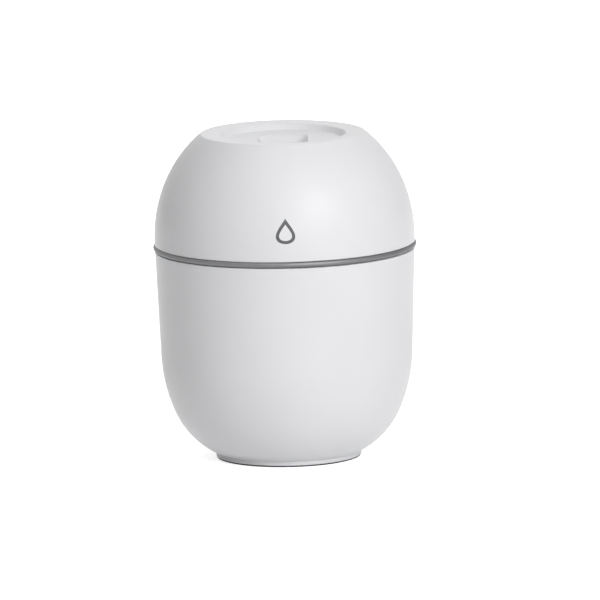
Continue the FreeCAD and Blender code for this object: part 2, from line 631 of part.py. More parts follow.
def screw(name, x, y, seat, kind, upward):
    """Screw with a cross slot; its head rests at the seat and its shank runs up or down."""
    prefix = "" if kind == "chassis" else "small_"
    head_radius = "screw_head_radius" if kind == "chassis" else "small_head_radius"
    head_height = "screw_head_height" if kind == "chassis" else "small_head_height"
    shank = prefix + "screw_radius"
    reach = prefix + "screw_length"
    head_low = seat + " - " + head_height if upward else seat
    head_high = seat if upward else seat + " + " + head_height
    shank_low = seat if upward else seat + " - " + reach
    shank_high = seat + " + " + reach if upward else seat
    head = cylinder(name + "_head", head_radius, head_low, head_high, x, y)
    stem = cylinder(name + "_stem", shank, shank_low, shank_high, x, y)
    slot_z = head_low if upward else head_high + " - drive_slot"
    slots = []
    for tag, wide, long_ in (("a", head_radius, "drive_slot / 2"), ("b", "drive_slot / 2", head_radius)):
        slots.append(box(name + "_slot_" + tag, x + " - 0.6 * " + wide, y + " - 0.6 * " + long_,
                         slot_z, "1.2 * " + wide, "1.2 * " + long_, "drive_slot"))
    return cut(name, fuse(name + "_blank", head, stem), *slots)


def sector_ring(name, outer, inner, low, high, sweep, turn):
    """Part of a ring, swept from an angle."""
    whole = cylinder(name + "_outer", outer, low, high, sweep=sweep, turn=turn)
    core = cylinder(name + "_core", inner, low + " - 1", high + " + 1")
    return cut(name, whole, core)


NODES = []


def node(thing, name):
    """Give a finished sub-part its name."""
    thing.Label = name
    NODES.append(thing)
    return thing


# --------------------------------------------------------------------------------------
# Water cup and its foot
# --------------------------------------------------------------------------------------
cup_body = turned("cup_turned", [
    (AXIS, "recess_z"),
    ("recess_radius", "recess_z"),
    ("recess_radius", "pad_flange"),
    ("foot_radius", "pad_flange"),
    ("foot_radius", "foot_top_z"),
    ("cup_belly_radius", "cup_belly_z", "foot_cr", "foot_cz", "foot_curve"),
    ("cup_waist_radius", "cup_waist_z", "belly_cr", "belly_cz", "belly_curve"),
    ("cup_rim_radius", "cup_height"),
    ("cup_bore", "cup_height"),
    ("cup_bore", "cup_bore_z"),
    ("inner_waist_r", "inner_waist_z"),
    ("inner_belly_r", "inner_belly_z", "belly_cr", "belly_cz", "inner_belly_curve"),
    ("inner_floor_r", "cup_floor_z", "foot_cr", "foot_cz", "inner_foot_curve"),
    (AXIS, "cup_floor_z"),
])
round_edges(cup_body, "seam_round", [("cup_rim_radius", "cup_height"), ("cup_bore", "cup_height")])
node(cup_body, "water_cup")

node(turned("pad_turned", [
    (AXIS, GROUND),
    ("pad_radius", GROUND),
    ("pad_radius", "pad_flange"),
    ("plug_radius", "pad_flange"),
    ("plug_radius", "recess_z"),
    (AXIS, "recess_z"),
]), "foot_pad")

# --------------------------------------------------------------------------------------
# Cover with its dish, mist well, bosses and openings
# --------------------------------------------------------------------------------------
cover_body = turned("cover_turned", [
    ("cover_bore", "ring_top_z"),
    ("cover_radius", "ring_top_z"),
    ("cover_radius", "cover_band_z"),
    ("shoulder_radius", "shoulder_z", "side_cr", "cover_band_z", "side_curve"),
    ("lip_radius", "lip_z", "top_cr", "top_cz", "top_curve"),
    ("dish_rim_radius", "dish_rim_z"),
    ("dish_floor_radius", "dish_z"),
    (AXIS, "dish_z"),
    (AXIS, "dish_low_z"),
    ("dish_back_low_r", "dish_low_z"),
    ("dish_back_r", "band_low_z"),
    ("band_low_r", "band_low_z"),
    ("inner_shoulder_r", "inner_shoulder_z", "top_cr", "top_cz", "inner_top_curve"),
    ("cover_bore", "cover_band_z", "side_cr", "cover_band_z", "inner_side_curve"),
])
round_edges(cover_body, "seam_round", [("cover_radius", "ring_top_z")])
round_edges(cover_body, "lip_round", [("lip_radius", "lip_z")])
round_edges(cover_body, "dish_rim_round", [("dish_rim_radius", "dish_rim_z")])
round_edges(cover_body, "dish_corner_round", [("dish_floor_radius", "dish_z")])

cover_solid = turned("cover_envelope", [
    (AXIS, "ring_top_z"),
    ("mid_cover_r", "ring_top_z"),
    ("mid_cover_r", "cover_band_z"),
    ("mid_shoulder_r", "mid_shoulder_z", "side_cr", "cover_band_z", "mid_side_curve"),
    ("mid_band_r", "mid_band_z", "top_cr", "top_cz", "mid_top_curve"),
    (AXIS, "mid_band_z"),
])

well_out_top = place(rounded_sketch("well_out_top", "well_out_width", "well_out_length",
                                    "well_out_corner"), z="dish_low_z + 0.5 * dish_floor_wall")
well_out_low = place(rounded_sketch("well_out_low", "throat_out", "throat_out",
                                    "throat_out_corner"), z="throat_low_z")
well_walls = loft("well_walls", well_out_low, well_out_top)

well_edge_top = place(rounded_sketch("well_edge_top", "well_edge_width", "well_edge_length",
                                     "well_edge_corner"), z="dish_z + 0.001")
well_top = place(rounded_sketch("well_top", "well_half_width", "well_half_length",
                                "well_corner"), z="well_edge_z")
well_low = place(rounded_sketch("well_low", "throat_radius", "throat_radius",
                                "throat_corner"), z="throat_top_z")
well_hollow = loft("well_hollow", well_low, well_top, well_edge_top)
throat_hole = cylinder("throat_hole", "throat_radius", "throat_low_z - 1", "throat_top_z + 0.1")

BOSS_ANGLES = (-90.0, 30.0, 150.0)


def swing(name, solid, angle):
    """Solid built on the +X side, turned about the vertical axis to its place."""
    turned_solid = doc.addObject("Part::Compound", name)
    turned_solid.Links = [solid]
    turned_solid.Placement = FreeCAD.Placement(
        FreeCAD.Vector(), FreeCAD.Rotation(FreeCAD.Vector(0, 0, 1), angle))
    return turned_solid


boss_parts = []
boss_holes = []
for index, angle in enumerate(BOSS_ANGLES):
    boss = cylinder("boss_%d" % index, "boss_radius", "boss_low_z", "lip_z", "boss_ring_radius")
    rib = box("rib_%d" % index, "boss_ring_radius", "-1 * rib_wall / 2", "boss_low_z + rib_up",
              "cover_radius", "rib_wall", "cover_height")
    hole = cylinder("boss_hole_%d" % index, "screw_radius + fit_gap", "boss_low_z - 1",
                    "boss_low_z + screw_length + 1", "boss_ring_radius")
    boss_parts.append(swing("boss_at_%d" % index, boss, angle))
    boss_parts.append(swing("rib_at_%d" % index, rib, angle))
    boss_holes.append(swing("boss_hole_at_%d" % index, hole, angle))
boss_common = doc.addObject("Part::Common", "boss_common")
boss_common.Base = fuse("boss_set", *boss_parts)
boss_common.Tool = cover_solid

small_bosses = []
small_holes = []
for side, sign in (("left", "-1"), ("right", "1")):
    clamp_x = sign + " * clamp_screw_x"
    small_bosses.append(cylinder("clamp_boss_" + side, "small_boss_radius", "clamp_top_z",
                                 "dish_low_z + 0.5", clamp_x))
    small_holes.append(cylinder("clamp_hole_" + side, "small_screw_radius + fit_gap", "clamp_top_z - 1",
                                "clamp_low_z + small_screw_length + 0.5", clamp_x))
    switch_x = sign + " * switch_screw_x"
    small_bosses.append(cylinder("switch_boss_" + side, "small_boss_radius", "switch_low_z",
                                 "dish_low_z + 0.5", switch_x, "switch_screw_y"))
    small_holes.append(cylinder("switch_hole_" + side, "small_screw_radius + fit_gap",
                                "switch_low_z - 1", "switch_board_z + small_screw_length + 0.5",
                                switch_x, "switch_screw_y"))

button_hole = cylinder("button_hole", "button_radius + button_gap", "dish_low_z - 1", "dish_z + 1",
                       "0", "button_y")
usb_slot = bar("usb_slot", "usb_slot_width", "usb_slot_height", "usb_slot_corner",
               "cover_bore - 4", "cover_radius + 2", "usb_mid_z")

cover_blank = fuse("cover_blank", cover_body, boss_common, well_walls, *small_bosses)
node(cut("cover_cut", cover_blank, well_hollow, throat_hole, button_hole, usb_slot,
         *boss_holes, *small_holes), "dome_cover")

node(turned("ring_turned", [
    ("ring_bore", "ring_low_z"),
    ("ring_bead_r", "ring_low_z"),
    ("ring_outer", "ring_mid_z", "ring_bead_r", "ring_mid_z", "ring_half"),
    ("ring_bead_r", "ring_top_z", "ring_bead_r", "ring_mid_z", "ring_half"),
    ("ring_spigot_r", "ring_top_z"),
    ("ring_spigot_r", "ring_spigot_z"),
    ("ring_bore", "ring_spigot_z"),
]), "trim_ring")

# --------------------------------------------------------------------------------------
# Chassis: plate, collar, guide tower, socket of the wick holder, board posts
# --------------------------------------------------------------------------------------
chassis_body = turned("chassis_turned", [
    ("tower_bore", "plate_low_z"),
    ("socket_bore", "plate_low_z"),
    ("socket_bore", "socket_low_z"),
    ("socket_radius", "socket_low_z"),
    ("socket_radius", "plate_low_z"),
    ("collar_inner", "plate_low_z"),
    ("collar_inner", "collar_low_z"),
    ("collar_radius", "collar_low_z"),
    ("collar_radius", "groove_low_z"),
    ("groove_radius", "groove_low_z"),
    ("groove_radius", "groove_top_z"),
    ("collar_radius", "groove_top_z"),
    ("collar_radius", "plate_top_z"),
    ("tower_radius", "plate_top_z"),
    ("tower_radius", "tower_top_z"),
    ("tower_bore", "tower_top_z"),
])

LUG_TURNS = (0.0, 180.0)
lug_half = size("lug_angle") / 2
lug_side = size("lug_side_gap")
lug_turn = size("holder_turn")

chassis_cuts = []
for index, turn in enumerate(LUG_TURNS):
    chassis_cuts.append(sector_ring("bayonet_track_%d" % index, "socket_radius + 1", "socket_bore - 0.5",
                                    "lug_low_z - 0.25", "lug_top_z + 0.25",
                                    "lug_angle + holder_turn + 2 * lug_side_gap",
                                    turn - lug_half - lug_side))
    chassis_cuts.append(sector_ring("bayonet_entry_%d" % index, "socket_radius + 1", "socket_bore - 0.5",
                                    "socket_low_z - 1", "lug_top_z", "lug_angle + 2 * lug_side_gap",
                                    turn + lug_turn - lug_half - lug_side))
for index, angle in enumerate(BOSS_ANGLES):
    hole = cylinder("plate_hole_%d" % index, "screw_radius + 0.2", "plate_low_z - 1",
                    "plate_top_z + 1", "boss_ring_radius")
    chassis_cuts.append(swing("plate_hole_at_%d" % index, hole, angle))

POST_PLACES = [
    (sign + " * ( main_board_width / 2 - post_inset )", along)
    for sign in ("-1", "1")
    for along in ("main_board_y + post_inset", "main_board_y + main_board_length - post_inset")
]
posts = []
for index, (post_x, post_y) in enumerate(POST_PLACES):
    posts.append(cylinder("post_%d" % index, "small_boss_radius", "plate_top_z - 0.5", "board_low_z",
                          post_x, post_y))
    chassis_cuts.append(cylinder("post_hole_%d" % index, "small_screw_radius + fit_gap",
                                 "board_top_z - small_screw_length - 0.4", "board_low_z + 1",
                                 post_x, post_y))
node(cut("chassis_cut", fuse("chassis_blank", chassis_body, *posts), *chassis_cuts), "inner_chassis")


def seal_ring(name, inner, outer, mid_z):
    """Round seal that fills a groove and clears the bore it slides in."""
    ring = doc.addObject("Part::Torus", name)
    bind(ring, "Radius1", "( " + inner + " + " + outer + " ) / 2")
    bind(ring, "Radius2", "( " + outer + " - " + inner + " ) / 2 - seal_gap")
    return place(ring, z=mid_z)


node(seal_ring("collar_ring", "groove_radius", "cup_bore", "groove_mid_z"), "collar_seal")

chassis_screws = []
for index, angle in enumerate(BOSS_ANGLES):
    one = screw("chassis_screw_%d" % index, "boss_ring_radius", "0", "plate_low_z", "chassis", True)
    chassis_screws.append(swing("chassis_screw_at_%d" % index, one, angle))
node(gather("chassis_screw_set", chassis_screws), "chassis_screws")

# --------------------------------------------------------------------------------------
# Atomiser: gaskets, piezo ring, mesh plate, clamp
# --------------------------------------------------------------------------------------
node(turned("gasket_upper_turned", [
    ("gasket_bore", "piezo_top_z"),
    ("disc_seat_r", "piezo_top_z"),
    ("disc_seat_r", "mesh_low_z"),
    ("gasket_radius", "mesh_low_z"),
    ("gasket_radius", "throat_low_z"),
    ("gasket_bore", "throat_low_z"),
]), "atomizer_gasket_upper")

node(turned("piezo_turned", [
    ("disc_bore", "piezo_low_z"),
    ("disc_radius", "piezo_low_z"),
    ("disc_radius", "piezo_top_z"),
    ("disc_bore", "piezo_top_z"),
]), "piezo_ring")

node(turned("mesh_turned", [
    (AXIS, "mesh_low_z"),
    ("disc_radius", "mesh_low_z"),
    ("disc_radius", "piezo_low_z"),
    (AXIS, "piezo_low_z"),
]), "mesh_plate")

node(turned("gasket_lower_turned", [
    ("gasket_bore", "clamp_top_z"),
    ("gasket_radius", "clamp_top_z"),
    ("gasket_radius", "mesh_low_z"),
    ("gasket_bore", "mesh_low_z"),
]), "atomizer_gasket_lower")

clamp_disc = turned("clamp_disc", [
    ("gasket_bore", "clamp_low_z"),
    ("clamp_radius", "clamp_low_z"),
    ("clamp_radius", "clamp_top_z"),
    ("gasket_bore", "clamp_top_z"),
])
clamp_arms = []
clamp_holes = [cylinder("clamp_bore", "gasket_bore", "clamp_low_z - 1", "clamp_top_z + 1")]
clamp_screws = []
for side, sign in (("left", "-1"), ("right", "1")):
    ear_x = sign + " * clamp_screw_x"
    clamp_arms.append(cylinder("clamp_ear_" + side, "small_boss_radius", "clamp_low_z", "clamp_top_z", ear_x))
    clamp_holes.append(cylinder("ear_hole_" + side, "small_screw_radius + 0.15", "clamp_low_z - 1",
                                "clamp_top_z + 1", ear_x))
    clamp_screws.append(screw("clamp_screw_" + side, ear_x, "0", "clamp_low_z", "small", True))
clamp_arms.append(box("clamp_bar", "-1 * clamp_screw_x", "-1 * small_boss_radius", "clamp_low_z",
                      "2 * clamp_screw_x", "2 * small_boss_radius", "clamp_wall"))
node(cut("clamp_cut", fuse("clamp_blank", clamp_disc, *clamp_arms), *clamp_holes), "atomizer_clamp")
node(gather("clamp_screw_set", clamp_screws), "clamp_screws")

# --------------------------------------------------------------------------------------
# Button, switch and switch board
# --------------------------------------------------------------------------------------
button_body = turned("button_turned", [
    (AXIS, "flange_low_z"),
    ("flange_radius", "flange_low_z"),
    ("flange_radius", "flange_top_z"),
    ("button_radius", "flange_top_z"),
    ("button_radius", "dish_z"),
    (AXIS, "dish_z"),
])
round_edges(button_body, "button_round", [("button_radius", "dish_z")])
node(place(button_body, "0", "button_y"), "button_cap")

node(cylinder("plunger", "plunger_radius", "plunger_low_z", "flange_low_z", "0", "button_y"),
     "switch_plunger")

switch_box = box("switch_box", "-1 * switch_side / 2", "button_y - switch_side / 2", "switch_low_z",
                 "switch_side", "switch_side", "switch_height")
switch_well = cylinder("switch_well", "plunger_radius + 0.25",
                       "plunger_low_z - button_travel - switch_gap", "switch_top_z + 1",
                       "0", "button_y")
node(cut("switch_cut", switch_box, switch_well), "tact_switch")

switch_plate = box("switch_plate", "-1 * switch_board_width / 2", "switch_board_y", "switch_board_z",
                   "switch_board_width", "switch_board_length", "board_wall")
switch_holes = []
switch_screws = []
for side, sign in (("left", "-1"), ("right", "1")):
    hole_x = sign + " * switch_screw_x"
    switch_holes.append(cylinder("board_hole_" + side, "small_screw_radius + 0.15",
                                 "switch_board_z - 1", "switch_low_z + 1", hole_x, "switch_screw_y"))
    switch_screws.append(screw("switch_screw_" + side, hole_x, "switch_screw_y", "switch_board_z",
                               "small", True))
node(cut("switch_board_cut", switch_plate, *switch_holes), "switch_board")
node(gather("switch_screw_set", switch_screws), "switch_board_screws")

# --------------------------------------------------------------------------------------
# Main board with its parts and the USB socket
# --------------------------------------------------------------------------------------
main_plate = box("main_plate", "-1 * main_board_width / 2", "main_board_y", "board_low_z",
                 "main_board_width", "main_board_length", "board_wall")
main_holes = []
main_screws = []
for index, (post_x, post_y) in enumerate(POST_PLACES):
    main_holes.append(cylinder("main_hole_%d" % index, "small_screw_radius + 0.15",
                               "board_low_z - 1", "board_top_z + 1", post_x, post_y))
    main_screws.append(screw("main_screw_%d" % index, post_x, post_y, "board_top_z", "small", False))
node(cut("main_board_cut", main_plate, *main_holes), "main_board")
node(gather("main_screw_set", main_screws), "main_board_screws")

usb_outer = bar("usb_outer", "usb_half_width", "usb_half_height", "usb_corner",
                "usb_back_y", "usb_mouth_y", "usb_mid_z")
usb_inner = bar("usb_inner", "usb_hollow_width", "usb_hollow_height", "usb_hollow_corner",
                "usb_back_y + usb_skin", "usb_mouth_y + 1", "usb_mid_z")
node(cut("usb_shell_cut", usb_outer, usb_inner), "usb_shell")

usb_core = bar("usb_core", "usb_core_width", "usb_core_height", "usb_core_corner",
               "usb_back_y + usb_skin", "usb_back_y + 2", "usb_mid_z")
usb_blade = box("usb_blade", "-1 * tongue_half_width", "usb_back_y + 1", "usb_mid_z - tongue_height / 2",
                "2 * tongue_half_width", "usb_length - 1 - tongue_recess", "tongue_height")
node(fuse("usb_tongue_solid", usb_core, usb_blade), "usb_tongue")

node(box("chip", "-1 * chip_width / 2", "main_board_y + 9", "board_top_z",
         "chip_width", "chip_length", "chip_height"), "controller_chip")

COIL_PLACE = ("-3.0", "main_board_y + 4.6")
coil_core = cylinder("coil_core", "coil_radius - 0.5", "board_top_z", "board_top_z + coil_height", *COIL_PLACE)
coil_low = cylinder("coil_low", "coil_radius", "board_top_z", "board_top_z + coil_flange", *COIL_PLACE)
coil_high = cylinder("coil_high", "coil_radius", "board_top_z + coil_height - coil_flange",
                     "board_top_z + coil_height", *COIL_PLACE)
node(fuse("coil_solid", coil_core, coil_low, coil_high), "drive_coil")

node(cylinder("can", "can_radius", "board_top_z", "board_top_z + can_height", "3.9",
              "main_board_y + 4.6"), "filter_capacitor")

lamps = []
headers = []
for side, sign in (("left", "-1"), ("right", "1")):
    lamps.append(box("lamp_" + side, sign + " * ( header_x + 0.4 ) - lamp_side / 2",
                     "main_board_y + 6.6", "board_top_z", "lamp_side", "lamp_side", "lamp_height"))
    header_box = box("header_box_" + side, sign + " * header_x - header_width / 2",
                     "header_mid_y - header_length / 2", "board_top_z",
                     "header_width", "header_length", "header_height")
    lead_holes = []
    for tag, step in (("a", "-0.5"), ("b", "0.5")):
        lead_holes.append(cylinder("lead_hole_" + side + tag, "lead_radius + 0.1",
                                   "header_top_z - lead_seat - 0.1", "header_top_z + 1",
                                   sign + " * header_x + " + step + " * lead_pitch", "header_mid_y"))
    headers.append(cut("header_" + side, header_box, *lead_holes))
node(gather("lamp_set", lamps), "night_light_leds")
node(gather("header_set", headers), "lead_headers")

# --------------------------------------------------------------------------------------
# Wick holder with its end cap and seal, the wick and its spring
# --------------------------------------------------------------------------------------
holder_body = turned("holder_turned", [
    ("holder_bore", "holder_low_z"),
    ("holder_radius", "holder_low_z"),
    ("holder_radius", "head_low_z"),
    ("head_radius", "head_low_z"),
    ("head_radius", "head_groove_z"),
    ("head_groove_r", "head_groove_z"),
    ("head_groove_r", "head_groove_top_z"),
    ("head_radius", "head_groove_top_z"),
    ("head_radius", "head_top_z"),
    ("holder_bore", "head_top_z"),
])
lugs = []
for index, turn in enumerate(LUG_TURNS):
    lugs.append(sector_ring("lug_%d" % index, "lug_reach", "head_radius - 0.5", "lug_low_z",
                            "lug_top_z", "lug_angle", turn - lug_half))
inlet_x = box("inlet_x", "-1 * cap_radius", "-1 * inlet_width / 2", "cap_top_z + inlet_up",
              "2 * cap_radius", "inlet_width", "inlet_height")
inlet_y = box("inlet_y", "-1 * inlet_width / 2", "-1 * cap_radius", "cap_top_z + inlet_up",
              "inlet_width", "2 * cap_radius", "inlet_height")
node(cut("holder_cut", fuse("holder_blank", holder_body, *lugs), inlet_x, inlet_y), "wick_holder")

cap_body = turned("cap_turned", [
    (AXIS, "cap_low_z"),
    ("cap_radius", "cap_low_z"),
    ("cap_radius", "cap_top_z"),
    ("cap_bore", "cap_top_z"),
    ("cap_bore", "cap_floor_z"),
    (AXIS, "cap_floor_z"),
])
cap_hole = cylinder("cap_hole", "inlet_hole_radius", "cap_low_z - 1", "cap_floor_z + 1")
node(cut("cap_cut", cap_body, cap_hole), "holder_cap")

node(seal_ring("holder_ring", "head_groove_r", "socket_bore", "head_groove_mid_z"), "holder_seal")

node(turned("wick_turned", [
    (AXIS, "wick_low_z"),
    ("wick_radius", "wick_low_z"),
    ("wick_radius", "wick_bevel_z"),
    ("wick_bevel_r", "wick_top_z"),
    (AXIS, "wick_top_z"),
]), "cotton_wick")

spring_path = doc.addObject("Part::Helix", "spring_path")
bind(spring_path, "Radius", "spring_radius")
bind(spring_path, "Pitch", "spring_height / spring_turns")
bind(spring_path, "Height", "spring_height")
place(spring_path, z="spring_low_z")
spring_wire = doc.addObject("Part::Circle", "spring_wire")
bind(spring_wire, "Radius", "spring_wire")
spring_wire.Placement = FreeCAD.Placement(FreeCAD.Vector(), FreeCAD.Rotation(FreeCAD.Vector(1, 0, 0), 90))
place(spring_wire, "spring_radius", "0", "spring_low_z")
doc.recompute()
spring = doc.addObject("Part::Sweep", "spring_sweep")
spring.Sections = [spring_wire]
spring.Spine = (spring_path, [])
spring.Solid = True
spring.Frenet = True
node(spring, "wick_spring")


# --------------------------------------------------------------------------------------
# Insulated leads inside the cover: straight runs joined by tangent arcs
# --------------------------------------------------------------------------------------
def route(points, bend):
    """Wire through points with an arc of the bend radius at each turn."""
    edges = []
    here = points[0]
    for index in range(1, len(points) - 1):
        corner = points[index]
        back = (points[index - 1] - corner).normalize()
        ahead = (points[index + 1] - corner).normalize()
        half = back.getAngle(ahead) / 2
        reach = bend / math.tan(half)
        start = corner + back * reach
        end = corner + ahead * reach
        middle = (back + ahead).normalize()
        near = corner + middle * (bend / math.sin(half) - bend)
        edges.append(Part.LineSegment(here, start).toShape())
        edges.append(Part.Arc(start, near, end).toShape())
        here = end
    edges.append(Part.LineSegment(here, points[-1]).toShape())
    return Part.Wire(edges)


def lead(points):
    """One insulated lead along a route."""
    path = route(points, size("lead_bend"))
    heading = (points[1] - points[0]).normalize()
    ring = Part.Wire(Part.Circle(points[0], heading, size("lead_radius")).toShape())
    tube = path.makePipeShell([ring], True, True)
    print("lead: length %.1f mm, volume check %.3f" % (
        path.Length, tube.Volume / (path.Length * math.pi * size("lead_radius") ** 2)))
    return tube


def lead_pair(name, side, ends):
    """Two parallel leads from a header to an end point."""
    tubes = []
    for step in (-0.5, 0.5):
        across = side * size("header_x") + step * size("lead_pitch")
        points = [FreeCAD.Vector(across, size("header_mid_y"), size("header_top_z") - size("lead_seat"))]
        points += ends(across, step)
        tubes.append(lead(points))
    pair = doc.addObject("Part::Feature", name)
    pair.Shape = Part.makeCompound(tubes)
    return pair


def atomizer_end(across, step):
    """Up to the disc's level, then straight in to the upper gasket."""
    level = size("piezo_top_z") + size("gasket_upper") / 2
    reach = size("gasket_radius") + size("run_gap")
    aim_x = -size("atomizer_lead_x") + step * size("lead_pitch")
    aim_y = math.sqrt(reach ** 2 - aim_x ** 2)
    return [FreeCAD.Vector(across, size("header_mid_y"), level),
            FreeCAD.Vector(aim_x, aim_y, level)]


def switch_end(across, step):
    """Over the chassis plate to the front, then up to the switch board."""
    level = size("plate_top_z") + size("switch_lead_z")
    along = size("switch_board_y") + size("switch_board_length") - 1.0
    return [FreeCAD.Vector(across, size("header_mid_y"), level),
            FreeCAD.Vector(across, along, level),
            FreeCAD.Vector(across, along, size("switch_board_z"))]


node(lead_pair("atomizer_lead_pair", -1, atomizer_end), "atomizer_leads")
node(lead_pair("switch_lead_pair", 1, switch_end), "switch_leads")

# --------------------------------------------------------------------------------------
# Checks and export
# --------------------------------------------------------------------------------------
doc.recompute()

faults = []
for thing in doc.Objects:
    if "Invalid" in thing.State or "Error" in thing.State:
        faults.append(thing.Name + ": " + ", ".join(thing.State))
for thing in NODES:
    shape = thing.Shape
    if shape.isNull() or not shape.isValid():
        faults.append(thing.Label + ": shape is null or not valid")
    elif not shape.Solids or shape.Volume <= 0:
        faults.append(thing.Label + ": no solid")
if faults:
    raise RuntimeError("; ".join(faults))

os.makedirs("parts", exist_ok=True)
for thing in NODES:
    thing.Shape.exportStep("parts/%s.step" % thing.Label)
    bounds = thing.Shape.BoundBox
    print("%-24s solids %d  volume %9.2f  z %6.2f to %6.2f  x %6.2f to %6.2f  y %6.2f to %6.2f" % (
        thing.Label, len(thing.Shape.Solids), thing.Shape.Volume, bounds.ZMin, bounds.ZMax,
        bounds.XMin, bounds.XMax, bounds.YMin, bounds.YMax))
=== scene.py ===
"""Cool mist humidifier: finishes, fine visible pieces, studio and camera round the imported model."""
import logging
import math
from dataclasses import dataclass, field
from enum import Enum
from typing import Callable, Iterable, Protocol, Sequence

import bmesh
import bpy
from mathutils import Matrix, Vector, noise
from mathutils.bvhtree import BVHTree


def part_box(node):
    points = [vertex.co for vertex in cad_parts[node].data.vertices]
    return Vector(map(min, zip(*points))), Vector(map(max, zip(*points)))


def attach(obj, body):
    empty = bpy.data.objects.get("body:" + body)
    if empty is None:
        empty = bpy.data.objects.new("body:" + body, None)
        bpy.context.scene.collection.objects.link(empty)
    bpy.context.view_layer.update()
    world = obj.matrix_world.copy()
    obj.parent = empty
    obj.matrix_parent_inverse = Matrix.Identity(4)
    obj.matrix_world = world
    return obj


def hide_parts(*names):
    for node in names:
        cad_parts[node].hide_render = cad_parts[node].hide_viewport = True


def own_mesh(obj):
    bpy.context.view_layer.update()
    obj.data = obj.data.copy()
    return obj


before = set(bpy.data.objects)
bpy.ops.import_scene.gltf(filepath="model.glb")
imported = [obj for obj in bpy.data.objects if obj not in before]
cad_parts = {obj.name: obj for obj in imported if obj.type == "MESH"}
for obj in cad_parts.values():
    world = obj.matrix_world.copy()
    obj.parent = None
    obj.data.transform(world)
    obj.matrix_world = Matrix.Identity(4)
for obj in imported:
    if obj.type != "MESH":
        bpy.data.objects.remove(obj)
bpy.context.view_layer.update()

LOG = logging.getLogger("humidifier")
logging.basicConfig(level=logging.INFO, format="%(name)s: %(message)s")

MM = 0.001
Colour = tuple[float, float, float]
Point = tuple[float, float]
Value = bpy.types.NodeSocket | float | tuple[float, ...]


